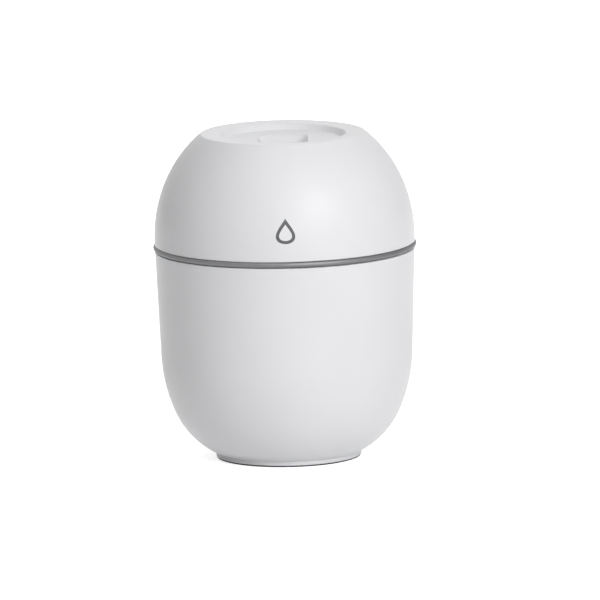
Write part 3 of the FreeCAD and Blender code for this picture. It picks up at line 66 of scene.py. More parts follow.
# ---------------------------------------------------------------------------------------
# Node writing
# ---------------------------------------------------------------------------------------
@dataclass
class Graph:
    """Writer for one node tree."""

    tree: bpy.types.NodeTree

    def add(self, kind: str, **settings: object) -> bpy.types.Node:
        """Add a node and set its properties.

        Args:
            kind: Node type name.
            settings: Node properties by name.

        Returns:
            The new node.
        """
        node = self.tree.nodes.new(kind)
        for name, value in settings.items():
            setattr(node, name, value)
        return node

    def feed(self, node: bpy.types.Node, name: str | int, value: Value) -> None:
        """Give one input of a node a link or a plain value.

        Args:
            node: Node to feed.
            name: Name or index of the input.
            value: An output socket, a number, a colour or a vector.
        """
        if isinstance(value, bpy.types.NodeSocket):
            self.tree.links.new(value, node.inputs[name])
        else:
            node.inputs[name].default_value = value

    def math(self, operation: str, first: Value, second: Value = 0.0,
             clamp: bool = False) -> bpy.types.NodeSocket:
        """Work out one sum.

        Args:
            operation: Name of the operation.
            first: First value.
            second: Second value.
            clamp: Whether to hold the result between 0 and 1.

        Returns:
            The result.
        """
        node = self.add("ShaderNodeMath", operation=operation, use_clamp=clamp)
        self.feed(node, 0, first)
        self.feed(node, 1, second)
        return node.outputs[0]

    def weigh(self, *shares: tuple[Value, Value]) -> bpy.types.NodeSocket:
        """Add up values, each times its weight.

        Args:
            shares: Each value with its weight.

        Returns:
            The sum.
        """
        total, *others = [self.math("MULTIPLY", value, weight) for value, weight in shares]
        for other in others:
            total = self.math("ADD", total, other)
        return total

    def ramp(self, value: bpy.types.NodeSocket, low: float, high: float,
             to_low: float = 0.0, to_high: float = 1.0) -> bpy.types.NodeSocket:
        """Map a value smoothly from one range to another.

        Args:
            value: Value to map.
            low: Start of its range.
            high: End of its range.
            to_low: Result at the start.
            to_high: Result at the end.

        Returns:
            The mapped value.
        """
        node = self.add("ShaderNodeMapRange", interpolation_type="SMOOTHSTEP")
        for name, number in (("From Min", low), ("From Max", high), ("To Min", to_low), ("To Max", to_high)):
            self.feed(node, name, number)
        self.feed(node, "Value", value)
        return node.outputs[0]

    def mix(self, amount: Value, first: Value, second: Value) -> bpy.types.NodeSocket:
        """Mix two colours.

        Args:
            amount: Share of the second colour.
            first: First colour, as three numbers or a socket.
            second: Second colour, as three numbers or a socket.

        Returns:
            The mixed colour.
        """
        node = self.add("ShaderNodeMix", data_type="RGBA")
        self.feed(node, 0, amount)
        for index, value in ((6, first), (7, second)):
            self.feed(node, index, (*value, 1.0) if isinstance(value, tuple) else value)
        return node.outputs[2]

    def noise(self, place: bpy.types.NodeSocket, size: Value, detail: float = 2.0,
              rough: float = 0.5) -> bpy.types.NodeSocket:
        """Lay noise over the surface.

        Args:
            place: Coordinates in metres.
            size: Size of a blot in millimetres.
            detail: Octaves.
            rough: Strength of the finer octaves.

        Returns:
            Noise from 0 to 1.
        """
        node = self.add("ShaderNodeTexNoise")
        self.feed(node, "Vector", place)
        self.feed(node, "Scale", self.math("DIVIDE", 1000.0, size)
                  if isinstance(size, bpy.types.NodeSocket) else 1000.0 / size)
        self.feed(node, "Detail", detail)
        self.feed(node, "Roughness", rough)
        return node.outputs[0]

    def cells(self, place: bpy.types.NodeSocket, scale: float, feature: str = "F1",
              randomness: float = 1.0) -> bpy.types.NodeSocket:
        """Divide the surface into cells.

        Args:
            place: Coordinates in metres.
            scale: Cells along a metre.
            feature: F1 for the distance from the cell's middle, DISTANCE_TO_EDGE for that from its edge.
            randomness: How unevenly the cells lie, from 0 to 1.

        Returns:
            The distance, in cells.
        """
        node = self.add("ShaderNodeTexVoronoi", feature=feature)
        self.feed(node, "Vector", place)
        self.feed(node, "Scale", scale)
        self.feed(node, "Randomness", randomness)
        return node.outputs["Distance"]

    def stretch(self, place: bpy.types.NodeSocket, scale: Value) -> bpy.types.NodeSocket:
        """Scale coordinates, so that a pattern is drawn out along an axis.

        Args:
            place: Coordinates in metres.
            scale: Factors along X, Y and Z.

        Returns:
            The scaled coordinates.
        """
        node = self.add("ShaderNodeMapping")
        self.feed(node, "Vector", place)
        self.feed(node, "Scale", scale)
        return node.outputs[0]

    def part(self, vector: bpy.types.NodeSocket, axis: str) -> bpy.types.NodeSocket:
        """Take one component of a vector.

        Args:
            vector: The vector.
            axis: X, Y or Z.

        Returns:
            The component.
        """
        node = self.add("ShaderNodeSeparateXYZ")
        self.feed(node, 0, vector)
        return node.outputs[axis]

    def length(self, vector: bpy.types.NodeSocket) -> bpy.types.NodeSocket:
        """Measure a vector.

        Args:
            vector: The vector.

        Returns:
            Its length.
        """
        node = self.add("ShaderNodeVectorMath", operation="LENGTH")
        self.feed(node, 0, vector)
        return node.outputs["Value"]

    def place(self) -> bpy.types.NodeSocket:
        """Coordinates on the piece, in metres."""
        return self.add("ShaderNodeTexCoord").outputs["Object"]

    def facing_up(self) -> bpy.types.NodeSocket:
        """How far the surface faces up, from -1 to 1."""
        return self.part(self.add("ShaderNodeNewGeometry").outputs["Normal"], "Z")


# ---------------------------------------------------------------------------------------
# Effects that several finishes share
# ---------------------------------------------------------------------------------------
@dataclass
class EffectGroup:
    """A shader node group under construction, with its named numbers in and out."""

    name: str
    inputs: dict[str, float]
    outputs: Sequence[str]
    vectors: Sequence[str] = ("Place",)
    tree: bpy.types.NodeTree = field(init=False)
    graph: Graph = field(init=False)
    given: bpy.types.Node = field(init=False)
    out: bpy.types.Node = field(init=False)

    def __post_init__(self) -> None:
        """Make the tree with its named sockets."""
        self.tree = bpy.data.node_groups.new(self.name, "ShaderNodeTree")
        for label in self.vectors:
            self.tree.interface.new_socket(name=label, in_out="INPUT", socket_type="NodeSocketVector")
        for label, value in self.inputs.items():
            socket = self.tree.interface.new_socket(name=label, in_out="INPUT", socket_type="NodeSocketFloat")
            socket.default_value = value
        for label in self.outputs:
            self.tree.interface.new_socket(name=label, in_out="OUTPUT", socket_type="NodeSocketFloat")
        self.graph = Graph(self.tree)
        self.given = self.graph.add("NodeGroupInput")
        self.out = self.graph.add("NodeGroupOutput")

    def input(self, name: str) -> bpy.types.NodeSocket:
        """Value handed to the group under this name."""
        return self.given.outputs[name]

    def give(self, name: str, value: bpy.types.NodeSocket) -> None:
        """Hand out one result."""
        self.graph.feed(self.out, name, value)


class SharedEffects:
    """Mould grain, handling marks, settled dust and metal lines, each built once."""

    def __init__(self) -> None:
        """Build every effect."""
        self.mould_grain = self._mould_grain()
        self.handling_marks = self._handling_marks()
        self.settled_dust = self._settled_dust()
        self.metal_lines = self._metal_lines()

    def _mould_grain(self) -> bpy.types.NodeTree:
        """Fine grain of an eroded mould over the slow waviness of a moulded wall.

        Returns:
            The node group.
        """
        made = EffectGroup("mould_grain", {"Grain Size": 0.3, "Grain": 1.0, "Waviness": 0.3},
                           ["Height", "Tone"])
        graph, place = made.graph, made.input("Place")
        fine = graph.noise(place, made.input("Grain Size"))
        slow = graph.noise(place, size=24.0)
        made.give("Height", graph.weigh((fine, made.input("Grain")), (slow, made.input("Waviness"))))
        made.give("Tone", graph.ramp(slow, 0.3, 0.7))
        return made.tree

    def _handling_marks(self) -> bpy.types.NodeTree:
        """Soft smudges and faint wipe marks.

        Returns:
            The node group.
        """
        made = EffectGroup("handling_marks", {"Size": 9.0, "Amount": 0.5}, ["Mask"])
        graph, place = made.graph, made.input("Place")
        blots = graph.ramp(graph.noise(place, made.input("Size"), detail=4.0, rough=0.6), 0.48, 0.72)
        drawn = graph.stretch(place, (1.0, 1.0, 6.0))
        wipes = graph.ramp(graph.noise(drawn, size=3.2, detail=3.0, rough=0.6), 0.55, 0.8)
        both = graph.math("ADD", blots, graph.math("MULTIPLY", wipes, 0.5), clamp=True)
        made.give("Mask", graph.math("MULTIPLY", both, made.input("Amount")))
        return made.tree

    def _settled_dust(self) -> bpy.types.NodeTree:
        """Specks of dust on the faces that look up.

        Returns:
            The node group.
        """
        made = EffectGroup("settled_dust", {"Amount": 0.2}, ["Mask"])
        graph, place = made.graph, made.input("Place")
        upward = graph.ramp(graph.facing_up(), 0.25, 1.0)
        specks = graph.ramp(graph.noise(place, size=0.5, detail=3.0, rough=0.7), 0.56, 0.76)
        haze = graph.ramp(graph.noise(place, size=14.0, detail=3.0, rough=0.6), 0.4, 0.8)
        layer = graph.math("MULTIPLY", upward, graph.weigh((specks, 0.6), (haze, 0.4)))
        made.give("Mask", graph.math("MULTIPLY", layer, made.input("Amount")))
        return made.tree

    def _metal_lines(self) -> bpy.types.NodeTree:
        """Fine lines of turned or drawn metal.

        Returns:
            The node group.
        """
        made = EffectGroup("metal_lines", {"Line Size": 0.1}, ["Height", "Tone"], ("Place", "Stretch"))
        graph = made.graph
        drawn = graph.stretch(made.input("Place"), made.input("Stretch"))
        made.give("Height", graph.noise(drawn, made.input("Line Size"), rough=0.6))
        made.give("Tone", graph.ramp(graph.noise(drawn, size=1.1, detail=3.0, rough=0.6), 0.3, 0.7))
        return made.tree


EFFECTS = SharedEffects()


@dataclass
class Surface:
    """One material under construction, with its Principled shader."""

    name: str
    material: bpy.types.Material = field(init=False)
    graph: Graph = field(init=False)
    shader: bpy.types.Node = field(init=False)
    place: bpy.types.NodeSocket = field(init=False)

    def __post_init__(self) -> None:
        """Start the material."""
        self.material = bpy.data.materials.new(self.name)
        self.material.use_nodes = True
        self.graph = Graph(self.material.node_tree)
        self.shader = self.material.node_tree.nodes["Principled BSDF"]
        self.place = self.graph.place()

    def effect(self, tree: bpy.types.NodeTree, **values: object) -> bpy.types.Node:
        """Lay a shared effect over the surface.

        Args:
            tree: The effect.
            values: Its inputs by name, with underscores for spaces.

        Returns:
            The group node.
        """
        node = self.graph.add("ShaderNodeGroup", node_tree=tree)
        self.graph.feed(node, "Place", self.place)
        for name, value in values.items():
            self.graph.feed(node, name.replace("_", " "), value)
        return node

    def plain(self, **values: object) -> None:
        """Set plain numbers or colours on the shader, by socket name with underscores for spaces."""
        for name, value in values.items():
            self.shader.inputs[name.replace("_", " ")].default_value = value

    def toned(self, mask: bpy.types.NodeSocket, colour: Colour, factor: float) -> bpy.types.NodeSocket:
        """Vary a colour over the surface.

        Args:
            mask: 1 where the colour is as given, 0 where it is changed most.
            colour: The colour.
            factor: Its brightness where it is changed most.

        Returns:
            The varied colour.
        """
        return self.graph.mix(mask, lighter(colour, factor), colour)

    def colour(self, value: Value) -> None:
        """Set the base colour."""
        self.graph.feed(self.shader, "Base Color", value)

    def roughness(self, base: float, *shares: tuple[bpy.types.NodeSocket, float]) -> None:
        """Set the roughness from a base and masks that raise it.

        Args:
            base: Roughness of the clean surface.
            shares: Each mask with how much it adds.
        """
        total: Value = base
        for mask, amount in shares:
            total = self.graph.math("ADD", total, self.graph.math("MULTIPLY", mask, amount), clamp=True)
        self.graph.feed(self.shader, "Roughness", total)

    def relief(self, height: bpy.types.NodeSocket, depth: float) -> None:
        """Raise the surface.

        Args:
            height: Height from 0 to 1.
            depth: Depth of the relief in millimetres.
        """
        node = self.graph.add("ShaderNodeBump")
        self.graph.feed(node, "Height", height)
        self.graph.feed(node, "Distance", depth * MM)
        self.graph.feed(node, "Strength", 1.0)
        self.graph.feed(self.shader, "Normal", node.outputs[0])


def lighter(colour: Colour, factor: float) -> Colour:
    """A colour times a factor, no brighter than 1."""
    return tuple(min(1.0, channel * factor) for channel in colour)


# ---------------------------------------------------------------------------------------
# Finishes
# ---------------------------------------------------------------------------------------
DUST: Colour = (0.60, 0.59, 0.57)


class Finish(Protocol):
    """What every finish offers."""

    @property
    def name(self) -> str:
        """Name of its material."""

    def build(self) -> bpy.types.Material:
        """Make the material."""


@dataclass(frozen=True)
class MouldedPlastic:
    """Injection-moulded plastic with mould grain, faint smudges and a little dust."""

    name: str
    colour: Colour
    roughness: float = 0.4
    grain_size: float = 0.35
    grain_depth: float = 0.004
    smudge: float = 0.4
    dust: float = 0.06
    tone: float = 0.985
    gloss: float = 0.5
    glow: float = 0.0

    def build(self) -> bpy.types.Material:
        """Make the material.

        Returns:
            The material.
        """
        made = Surface(self.name)
        grain = made.effect(EFFECTS.mould_grain, Grain_Size=self.grain_size, Grain=1.0, Waviness=0.6)
        smudge = made.effect(EFFECTS.handling_marks, Size=11.0, Amount=self.smudge)
        dust = made.effect(EFFECTS.settled_dust, Amount=self.dust)
        base = made.toned(grain.outputs["Tone"], self.colour, self.tone)
        made.colour(made.graph.mix(dust.outputs["Mask"], base, DUST))
        made.roughness(self.roughness, (smudge.outputs["Mask"], 0.1), (dust.outputs["Mask"], 0.3))
        made.plain(Specular_IOR_Level=self.gloss)
        if self.glow:
            made.plain(Subsurface_Weight=self.glow, Subsurface_Radius=(1.0, 0.9, 0.8),
                       Subsurface_Scale=0.8 * MM)
        made.relief(grain.outputs["Height"], self.grain_depth)
        return made.material


@dataclass(frozen=True)
class SoftRubber:
    """Rubber or silicone with a fine skin and lint."""

    name: str
    colour: Colour
    roughness: float = 0.5
    lint: float = 0.25
    glow: float = 0.0

    def build(self) -> bpy.types.Material:
        """Make the material.

        Returns:
            The material.
        """
        made = Surface(self.name)
        skin = made.effect(EFFECTS.mould_grain, Grain_Size=0.22, Grain=0.8, Waviness=0.6)
        lint = made.effect(EFFECTS.handling_marks, Size=4.0, Amount=self.lint)
        base = made.toned(skin.outputs["Tone"], self.colour, 0.85)
        made.colour(made.graph.mix(made.graph.math("MULTIPLY", lint.outputs["Mask"], 0.25), base, DUST))
        made.roughness(self.roughness, (lint.outputs["Mask"], 0.2))
        made.plain(Sheen_Weight=0.05)
        if self.glow:
            made.plain(Subsurface_Weight=self.glow, Subsurface_Radius=(1.0, 1.0, 1.0),
                       Subsurface_Scale=1.0 * MM)
        made.relief(skin.outputs["Height"], 0.01)
        return made.material


class Lines(Enum):
    """How the lines of a metal surface run, as stretches along X, Y and Z."""

    TURNED = (0.02, 0.02, 1.0)
    DRAWN = (1.0, 0.03, 1.0)
    CAST = (1.0, 1.0, 1.0)


@dataclass(frozen=True)
class WorkedMetal:
    """Metal with turned, drawn or cast texture and slight tarnish."""

    name: str
    colour: Colour
    roughness: float = 0.3
    lines: Lines = Lines.TURNED
    line_size: float = 0.1
    depth: float = 0.002
    tarnish: float = 0.3

    def build(self) -> bpy.types.Material:
        """Make the material.

        Returns:
            The material.
        """
        made = Surface(self.name)
        lines = made.effect(EFFECTS.metal_lines, Stretch=self.lines.value, Line_Size=self.line_size)
        marks = made.effect(EFFECTS.handling_marks, Size=6.0, Amount=self.tarnish)
        base = made.toned(lines.outputs["Tone"], self.colour, 0.88)
        made.colour(made.graph.mix(marks.outputs["Mask"], base, lighter(self.colour, 0.8)))
        made.plain(Metallic=1.0)
        made.roughness(self.roughness, (marks.outputs["Mask"], 0.15))
        made.relief(lines.outputs["Height"], self.depth)
        return made.material


@dataclass(frozen=True)
class PerforatedSteel:
    """Thin steel with a field of fine holes round its middle, the holes filled with painted shade."""

    name: str
    colour: Colour
    hole_spacing: float = 0.34
    hole_edge: tuple[float, float] = (0.34, 0.26)
    field_radius: float = 2.0
    hole_shade_colour: Colour = (0.02, 0.02, 0.02)

    def build(self) -> bpy.types.Material:
        """Make the material.

        Returns:
            The material.
        """
        made = Surface(self.name)
        graph = made.graph
        lines = made.effect(EFFECTS.metal_lines, Stretch=Lines.CAST.value, Line_Size=0.3)
        flat = graph.stretch(made.place, (1.0, 1.0, 0.0))
        holes = graph.ramp(graph.cells(flat, 1000.0 / self.hole_spacing, randomness=0.12), *self.hole_edge)
        inside = graph.ramp(graph.length(flat), self.field_radius * MM, self.field_radius * 0.96 * MM)
        mask = graph.math("MULTIPLY", holes, inside)
        # Painted shade: the holes take a near-black colour that stands for the shade inside them.
        made.colour(graph.mix(mask, made.toned(lines.outputs["Tone"], self.colour, 0.85), self.hole_shade_colour))
        made.plain(Metallic=1.0)
        made.roughness(0.28, (mask, 0.5), (inside, 0.1))
        made.relief(graph.math("SUBTRACT", graph.math("MULTIPLY", lines.outputs["Height"], 0.2), mask), 0.03)
        return made.material


@dataclass(frozen=True)
class FiredCeramic:
    """Piezo ceramic under a fired silver electrode."""

    name: str
    colour: Colour
    stain: Colour = (0.50, 0.47, 0.40)

    def build(self) -> bpy.types.Material:
        """Make the material.

        Returns:
            The material.
        """
        made = Surface(self.name)
        grain = made.effect(EFFECTS.mould_grain, Grain_Size=0.12, Grain=1.0, Waviness=0.2)
        marks = made.effect(EFFECTS.handling_marks, Size=3.0, Amount=0.8)
        base = made.toned(grain.outputs["Tone"], self.colour, 0.8)
        made.colour(made.graph.mix(marks.outputs["Mask"], base, self.stain))
        made.graph.feed(made.shader, "Metallic", made.graph.math(
            "SUBTRACT", 0.7, made.graph.math("MULTIPLY", marks.outputs["Mask"], 0.3)))
        made.roughness(0.42, (marks.outputs["Mask"], 0.2))
        made.relief(grain.outputs["Height"], 0.008)
        return made.material


@dataclass(frozen=True)
class CottonFibre:
    """Pressed cotton with fibres along it, damp towards its foot."""

    name: str
    colour: Colour
    damp_colour: Colour = (0.45, 0.42, 0.36)
    damp_share: float = 0.12
    dry_reach: tuple[float, float] = (0.020, 0.075)

    def build(self) -> bpy.types.Material:
        """Make the material.

        Returns:
            The material.
        """
        made = Surface(self.name)
        graph = made.graph
        along = graph.noise(graph.stretch(made.place, (1.0, 1.0, 0.12)), size=0.22, detail=4.0, rough=0.65)
        across = graph.noise(graph.stretch(made.place, (0.5, 0.5, 1.0)), size=0.5, detail=3.0, rough=0.6)
        weave = graph.weigh((along, 0.7), (across, 0.3))
        height = graph.ramp(graph.part(made.place, "Z"), *self.dry_reach)
        dry = made.toned(graph.ramp(weave, 0.35, 0.65), self.colour, 0.8)
        made.colour(graph.mix(height, graph.mix(self.damp_share, dry, self.damp_colour), dry))
        made.roughness(0.85, (weave, 0.1))
        made.plain(Sheen_Weight=0.3, Sheen_Roughness=0.5)
        made.relief(weave, 0.12)
        return made.material


@dataclass(frozen=True)
class CircuitBoard:
    """Solder mask over copper tracks, with tinned pads."""

    name: str
    mask_colour: Colour
    track_colour: Colour
    pad_colour: Colour = (0.62, 0.60, 0.55)
    track_scale: float = 520.0
    pad_scale: float = 300.0

    def build(self) -> bpy.types.Material:
        """Make the material.

        Returns:
            The material.
        """
        made = Surface(self.name)
        graph = made.graph
        weave = made.effect(EFFECTS.mould_grain, Grain_Size=0.15, Grain=1.0, Waviness=0.2)
        drawn = graph.stretch(made.place, (1.0, 0.45, 0.0))
        tracks = graph.ramp(graph.cells(drawn, self.track_scale, "DISTANCE_TO_EDGE", 0.55), 0.10, 0.07)
        flat = graph.stretch(made.place, (1.0, 1.0, 0.0))
        pads = graph.ramp(graph.cells(flat, self.pad_scale), 0.10, 0.085)
        green = graph.mix(tracks, self.mask_colour, self.track_colour)
        made.colour(graph.mix(pads, green, self.pad_colour))
        graph.feed(made.shader, "Metallic", graph.math("MULTIPLY", pads, 0.9))
        made.roughness(0.28, (weave.outputs["Tone"], 0.08))
        made.relief(graph.math("ADD", tracks, graph.math("MULTIPLY", weave.outputs["Height"], 0.2)), 0.02)
        return made.material


@dataclass(frozen=True)
class PadPrint:
    """Matt ink laid on the shell by a soft pad."""

    name: str
    colour: Colour

    def build(self) -> bpy.types.Material:
        """Make the material.

        Returns:
            The material.
        """
        made = Surface(self.name)
        film = made.effect(EFFECTS.mould_grain, Grain_Size=0.18, Grain=1.0, Waviness=0.4)
        graph = made.graph
        thin = graph.ramp(graph.noise(made.place, size=0.4, detail=3.0, rough=0.6), 0.35, 0.75)
        made.colour(graph.mix(thin, self.colour, lighter(self.colour, 1.25)))
        made.roughness(0.48, (thin, 0.08))
        made.relief(film.outputs["Height"], 0.004)
        return made.material


@dataclass(frozen=True)
class Shop:
    """Every finish of the humidifier."""

    shell: MouldedPlastic = MouldedPlastic("shell_satin", (0.79, 0.79, 0.805), roughness=0.36, gloss=0.3)
    chassis: MouldedPlastic = MouldedPlastic("chassis_matt", (0.70, 0.70, 0.69), roughness=0.5,
                                             grain_size=0.5, grain_depth=0.01, dust=0.1)
    trim: WorkedMetal = WorkedMetal("trim_satin", (0.185, 0.185, 0.19), roughness=0.5, line_size=0.09)
    foot: SoftRubber = SoftRubber("foot_rubber_matt", (0.05, 0.05, 0.05), roughness=0.7)
    silicone: SoftRubber = SoftRubber("silicone_milky", (0.62, 0.62, 0.60), roughness=0.4, glow=0.3)
    cotton: CottonFibre = CottonFibre("cotton_pressed", (0.80, 0.78, 0.72))
    piezo: FiredCeramic = FiredCeramic("piezo_silvered", (0.62, 0.60, 0.55))
    mist_mesh: PerforatedSteel = PerforatedSteel("mist_mesh_steel", (0.56, 0.56, 0.55))
    screw: WorkedMetal = WorkedMetal("screw_zinc", (0.50, 0.50, 0.51), roughness=0.32, lines=Lines.CAST,
                                     line_size=0.4)
    spring: WorkedMetal = WorkedMetal("spring_wire", (0.52, 0.52, 0.52), roughness=0.25, lines=Lines.DRAWN)
    socket: WorkedMetal = WorkedMetal("socket_plated", (0.55, 0.55, 0.56), roughness=0.24, lines=Lines.DRAWN)
    contact: WorkedMetal = WorkedMetal("contact_gold", (0.83, 0.61, 0.25), roughness=0.22, lines=Lines.DRAWN,
                                       tarnish=0.15)
    solder: WorkedMetal = WorkedMetal("solder_tin", (0.60, 0.60, 0.62), roughness=0.3, lines=Lines.CAST,
                                      line_size=0.6, depth=0.01)
    copper: WorkedMetal = WorkedMetal("copper_enamelled", (0.72, 0.34, 0.17), roughness=0.25)
    board: CircuitBoard = CircuitBoard("board_masked", (0.015, 0.10, 0.045), (0.03, 0.18, 0.075))
    black: MouldedPlastic = MouldedPlastic("black_filled", (0.025, 0.025, 0.026), roughness=0.45,
                                           grain_depth=0.008, dust=0.03)
    switch: MouldedPlastic = MouldedPlastic("switch_stem", (0.55, 0.54, 0.52), roughness=0.4)
    header: MouldedPlastic = MouldedPlastic("header_nylon", (0.72, 0.70, 0.64), roughness=0.45, glow=0.1)
    ferrite: FiredCeramic = FiredCeramic("coil_ferrite_grey", (0.06, 0.06, 0.062))
    can: WorkedMetal = WorkedMetal("can_sleeve", (0.40, 0.40, 0.42), roughness=0.3)
    led: MouldedPlastic = MouldedPlastic("led_body", (0.75, 0.75, 0.73), roughness=0.35, glow=0.1)
    phosphor: SoftRubber = SoftRubber("led_phosphor", (0.80, 0.62, 0.12), roughness=0.3, lint=0.1, glow=0.3)
    lead_red: MouldedPlastic = MouldedPlastic("lead_red_pvc", (0.42, 0.02, 0.02), roughness=0.35, dust=0.02)
    lead_white: MouldedPlastic = MouldedPlastic("lead_white_pvc", (0.70, 0.70, 0.68), roughness=0.35,
                                                dust=0.02)
    ink: PadPrint = PadPrint("mark_ink", (0.085, 0.086, 0.09))


class Shelf:
    """Builds each finish once and hands it out."""

    def __init__(self) -> None:
        """Start with nothing built."""
        self.built: dict[str, bpy.types.Material] = {}

    def take(self, finish: Finish) -> bpy.types.Material:
        """Find the material of a finish, and build it the first time.

        Args:
            finish: The finish.

        Returns:
            Its material.
        """
        if finish.name not in self.built:
            self.built[finish.name] = finish.build()
            LOG.info("finish %s built", finish.name)
        return self.built[finish.name]


SHOP = Shop()
SHELF = Shelf()


# ---------------------------------------------------------------------------------------
# Mesh making
# ---------------------------------------------------------------------------------------
ON_AXIS = 1e-9
BACKWARD = Vector((0.0, 1.0, 0.0))


def dress(finish: Finish, *nodes: str) -> None:
    """Give carried-over nodes their finish.

    Args:
        finish: Finish for the whole surface of each.
        nodes: Names of the nodes.
    """
    for node in nodes:
        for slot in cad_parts[node].material_slots:
            slot.material = SHELF.take(finish)
        LOG.info("node %s dressed with %s", node, finish.name)


def stand(name: str, data: bpy.types.ID) -> bpy.types.Object:
    """Stand new data in the scene.

    Args:
        name: Name of the object.
        data: Its mesh, light or camera.

    Returns:
        The object.
    """
    thing = bpy.data.objects.new(name, data)
    bpy.context.scene.collection.objects.link(thing)
    return thing


def around(radius: float, turns: float, height: float) -> Vector:
    """Find a point beside the upright axis.

    Args:
        radius: Distance from the axis.
        turns: Turns round the axis from +X.
        height: Height of the point.

    Returns:
        The point.
    """
    angle = math.tau * turns
    return Vector((radius * math.cos(angle), radius * math.sin(angle), height))


def close_rings(mesh: bmesh.types.BMesh, rings: Sequence[Sequence[bmesh.types.BMVert]], loop: bool) -> None:
    """Join rings of vertices with faces.

    Args:
        mesh: Mesh that holds the vertices.
        rings: Rings in order, each a closed round of equal length, or one vertex on the axis.
        loop: Whether the last ring joins the first.
    """
    count = len(rings)
    for index in range(count if loop else count - 1):
        here, there = rings[index], rings[(index + 1) % count]
        steps = max(len(here), len(there))
        for step in range(steps):
            after = (step + 1) % steps
            if len(here) == 1:
                mesh.faces.new((here[0], there[after], there[step]))
            elif len(there) == 1:
                mesh.faces.new((here[step], here[after], there[0]))
            else:
                mesh.faces.new((here[step], here[after], there[after], there[step]))


def lathe(mesh: bmesh.types.BMesh, profile: Sequence[Point], centre: Vector, segments: int) -> None:
    """Turn a profile about an upright axis into a closed solid.

    Args:
        mesh: Mesh to add to.
        profile: Radius and height of each point in metres, from the axis to the axis.
        centre: Foot of the axis; heights count from it.
        segments: Steps round the axis.
    """
    rings = []
    for radius, height in profile:
        steps = 1 if radius < ON_AXIS else segments
        rings.append([mesh.verts.new(centre + around(radius, step / segments, height))
                      for step in range(steps)])
    close_rings(mesh, rings, loop=False)


def block(mesh: bmesh.types.BMesh, low: Vector, high: Vector) -> None:
    """Add a box, whose edges the piece's bevel rounds later.

    Args:
        mesh: Mesh to add to.
        low: Lowest corner.
        high: Highest corner.
    """
    middle, span = (low + high) / 2, high - low
    matrix = Matrix.Translation(middle) @ Matrix.Diagonal((*span, 1.0))
    bmesh.ops.create_cube(mesh, size=1.0, matrix=matrix)


def tube(mesh: bmesh.types.BMesh, path: Sequence[Vector], radius: float, sides: int = 10) -> None:
    """Sweep a round section along a path with closed ends.

    Args:
        mesh: Mesh to add to.
        path: Points along the middle.
        radius: Radius of the section.
        sides: Steps round the section.
    """
    rings: list[list[bmesh.types.BMVert]] = [[mesh.verts.new(path[0])]]
    side = Vector((0.0, 0.0, 1.0))
    for index, point in enumerate(path):
        ahead = (path[min(index + 1, len(path) - 1)] - path[max(index - 1, 0)]).normalized()
        across = ahead.cross(side).normalized()
        up = across.cross(ahead)
        rings.append([mesh.verts.new(point + radius * (math.cos(math.tau * step / sides) * across
                                                       + math.sin(math.tau * step / sides) * up))
                      for step in range(sides)])
    rings.append([mesh.verts.new(path[-1])])
    close_rings(mesh, rings, loop=False)


def coil(centre: Vector, radius: float, turns: float, steps: int,
         rise: Callable[[float], float]) -> list[Vector]:
    """Lay out the middle line of a coil.

    Args:
        centre: Foot of its upright axis.
        radius: Radius of the coil.
        turns: Number of turns.
        steps: Steps in one turn.
        rise: Height after a number of turns.

    Returns:
        Points along the line.
    """
    passed = [step / steps for step in range(round(turns * steps) + 1)]
    return [centre + around(radius, turn, rise(turn)) for turn in passed]


@dataclass
class Piece:
    """A new piece with its finish, its body and a slot name, which is not used."""

    name: str
    body: str
    slot: str
    finish: Finish
    sharp: float = 35.0
    bevel: float = 0.0
    mesh: bmesh.types.BMesh = field(default_factory=bmesh.new)

    def make(self, replaces: Iterable[str] = ()) -> bpy.types.Object:
        """Turn the mesh into an object that rides on its body.

        Args:
            replaces: Nodes that this piece stands for.

        Returns:
            The object.
        """
        bmesh.ops.recalc_face_normals(self.mesh, faces=self.mesh.faces)
        data = bpy.data.meshes.new(self.name)
        self.mesh.to_mesh(data)
        self.mesh.free()
        data.polygons.foreach_set("use_smooth", [True] * len(data.polygons))
        data.set_sharp_from_angle(angle=math.radians(self.sharp))
        data.materials.append(SHELF.take(self.finish))
        thing = stand(self.name, data)
        if self.bevel:
            rounding = thing.modifiers.new("rounded_edges", "BEVEL")
            rounding.width, rounding.segments = self.bevel, 2
            rounding.limit_method = "ANGLE"
        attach(thing, self.body)
        if replaces:
            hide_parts(*replaces)
        LOG.info("piece %s made: %d faces, rides on %s", self.name, len(data.polygons), self.body)
        return thing


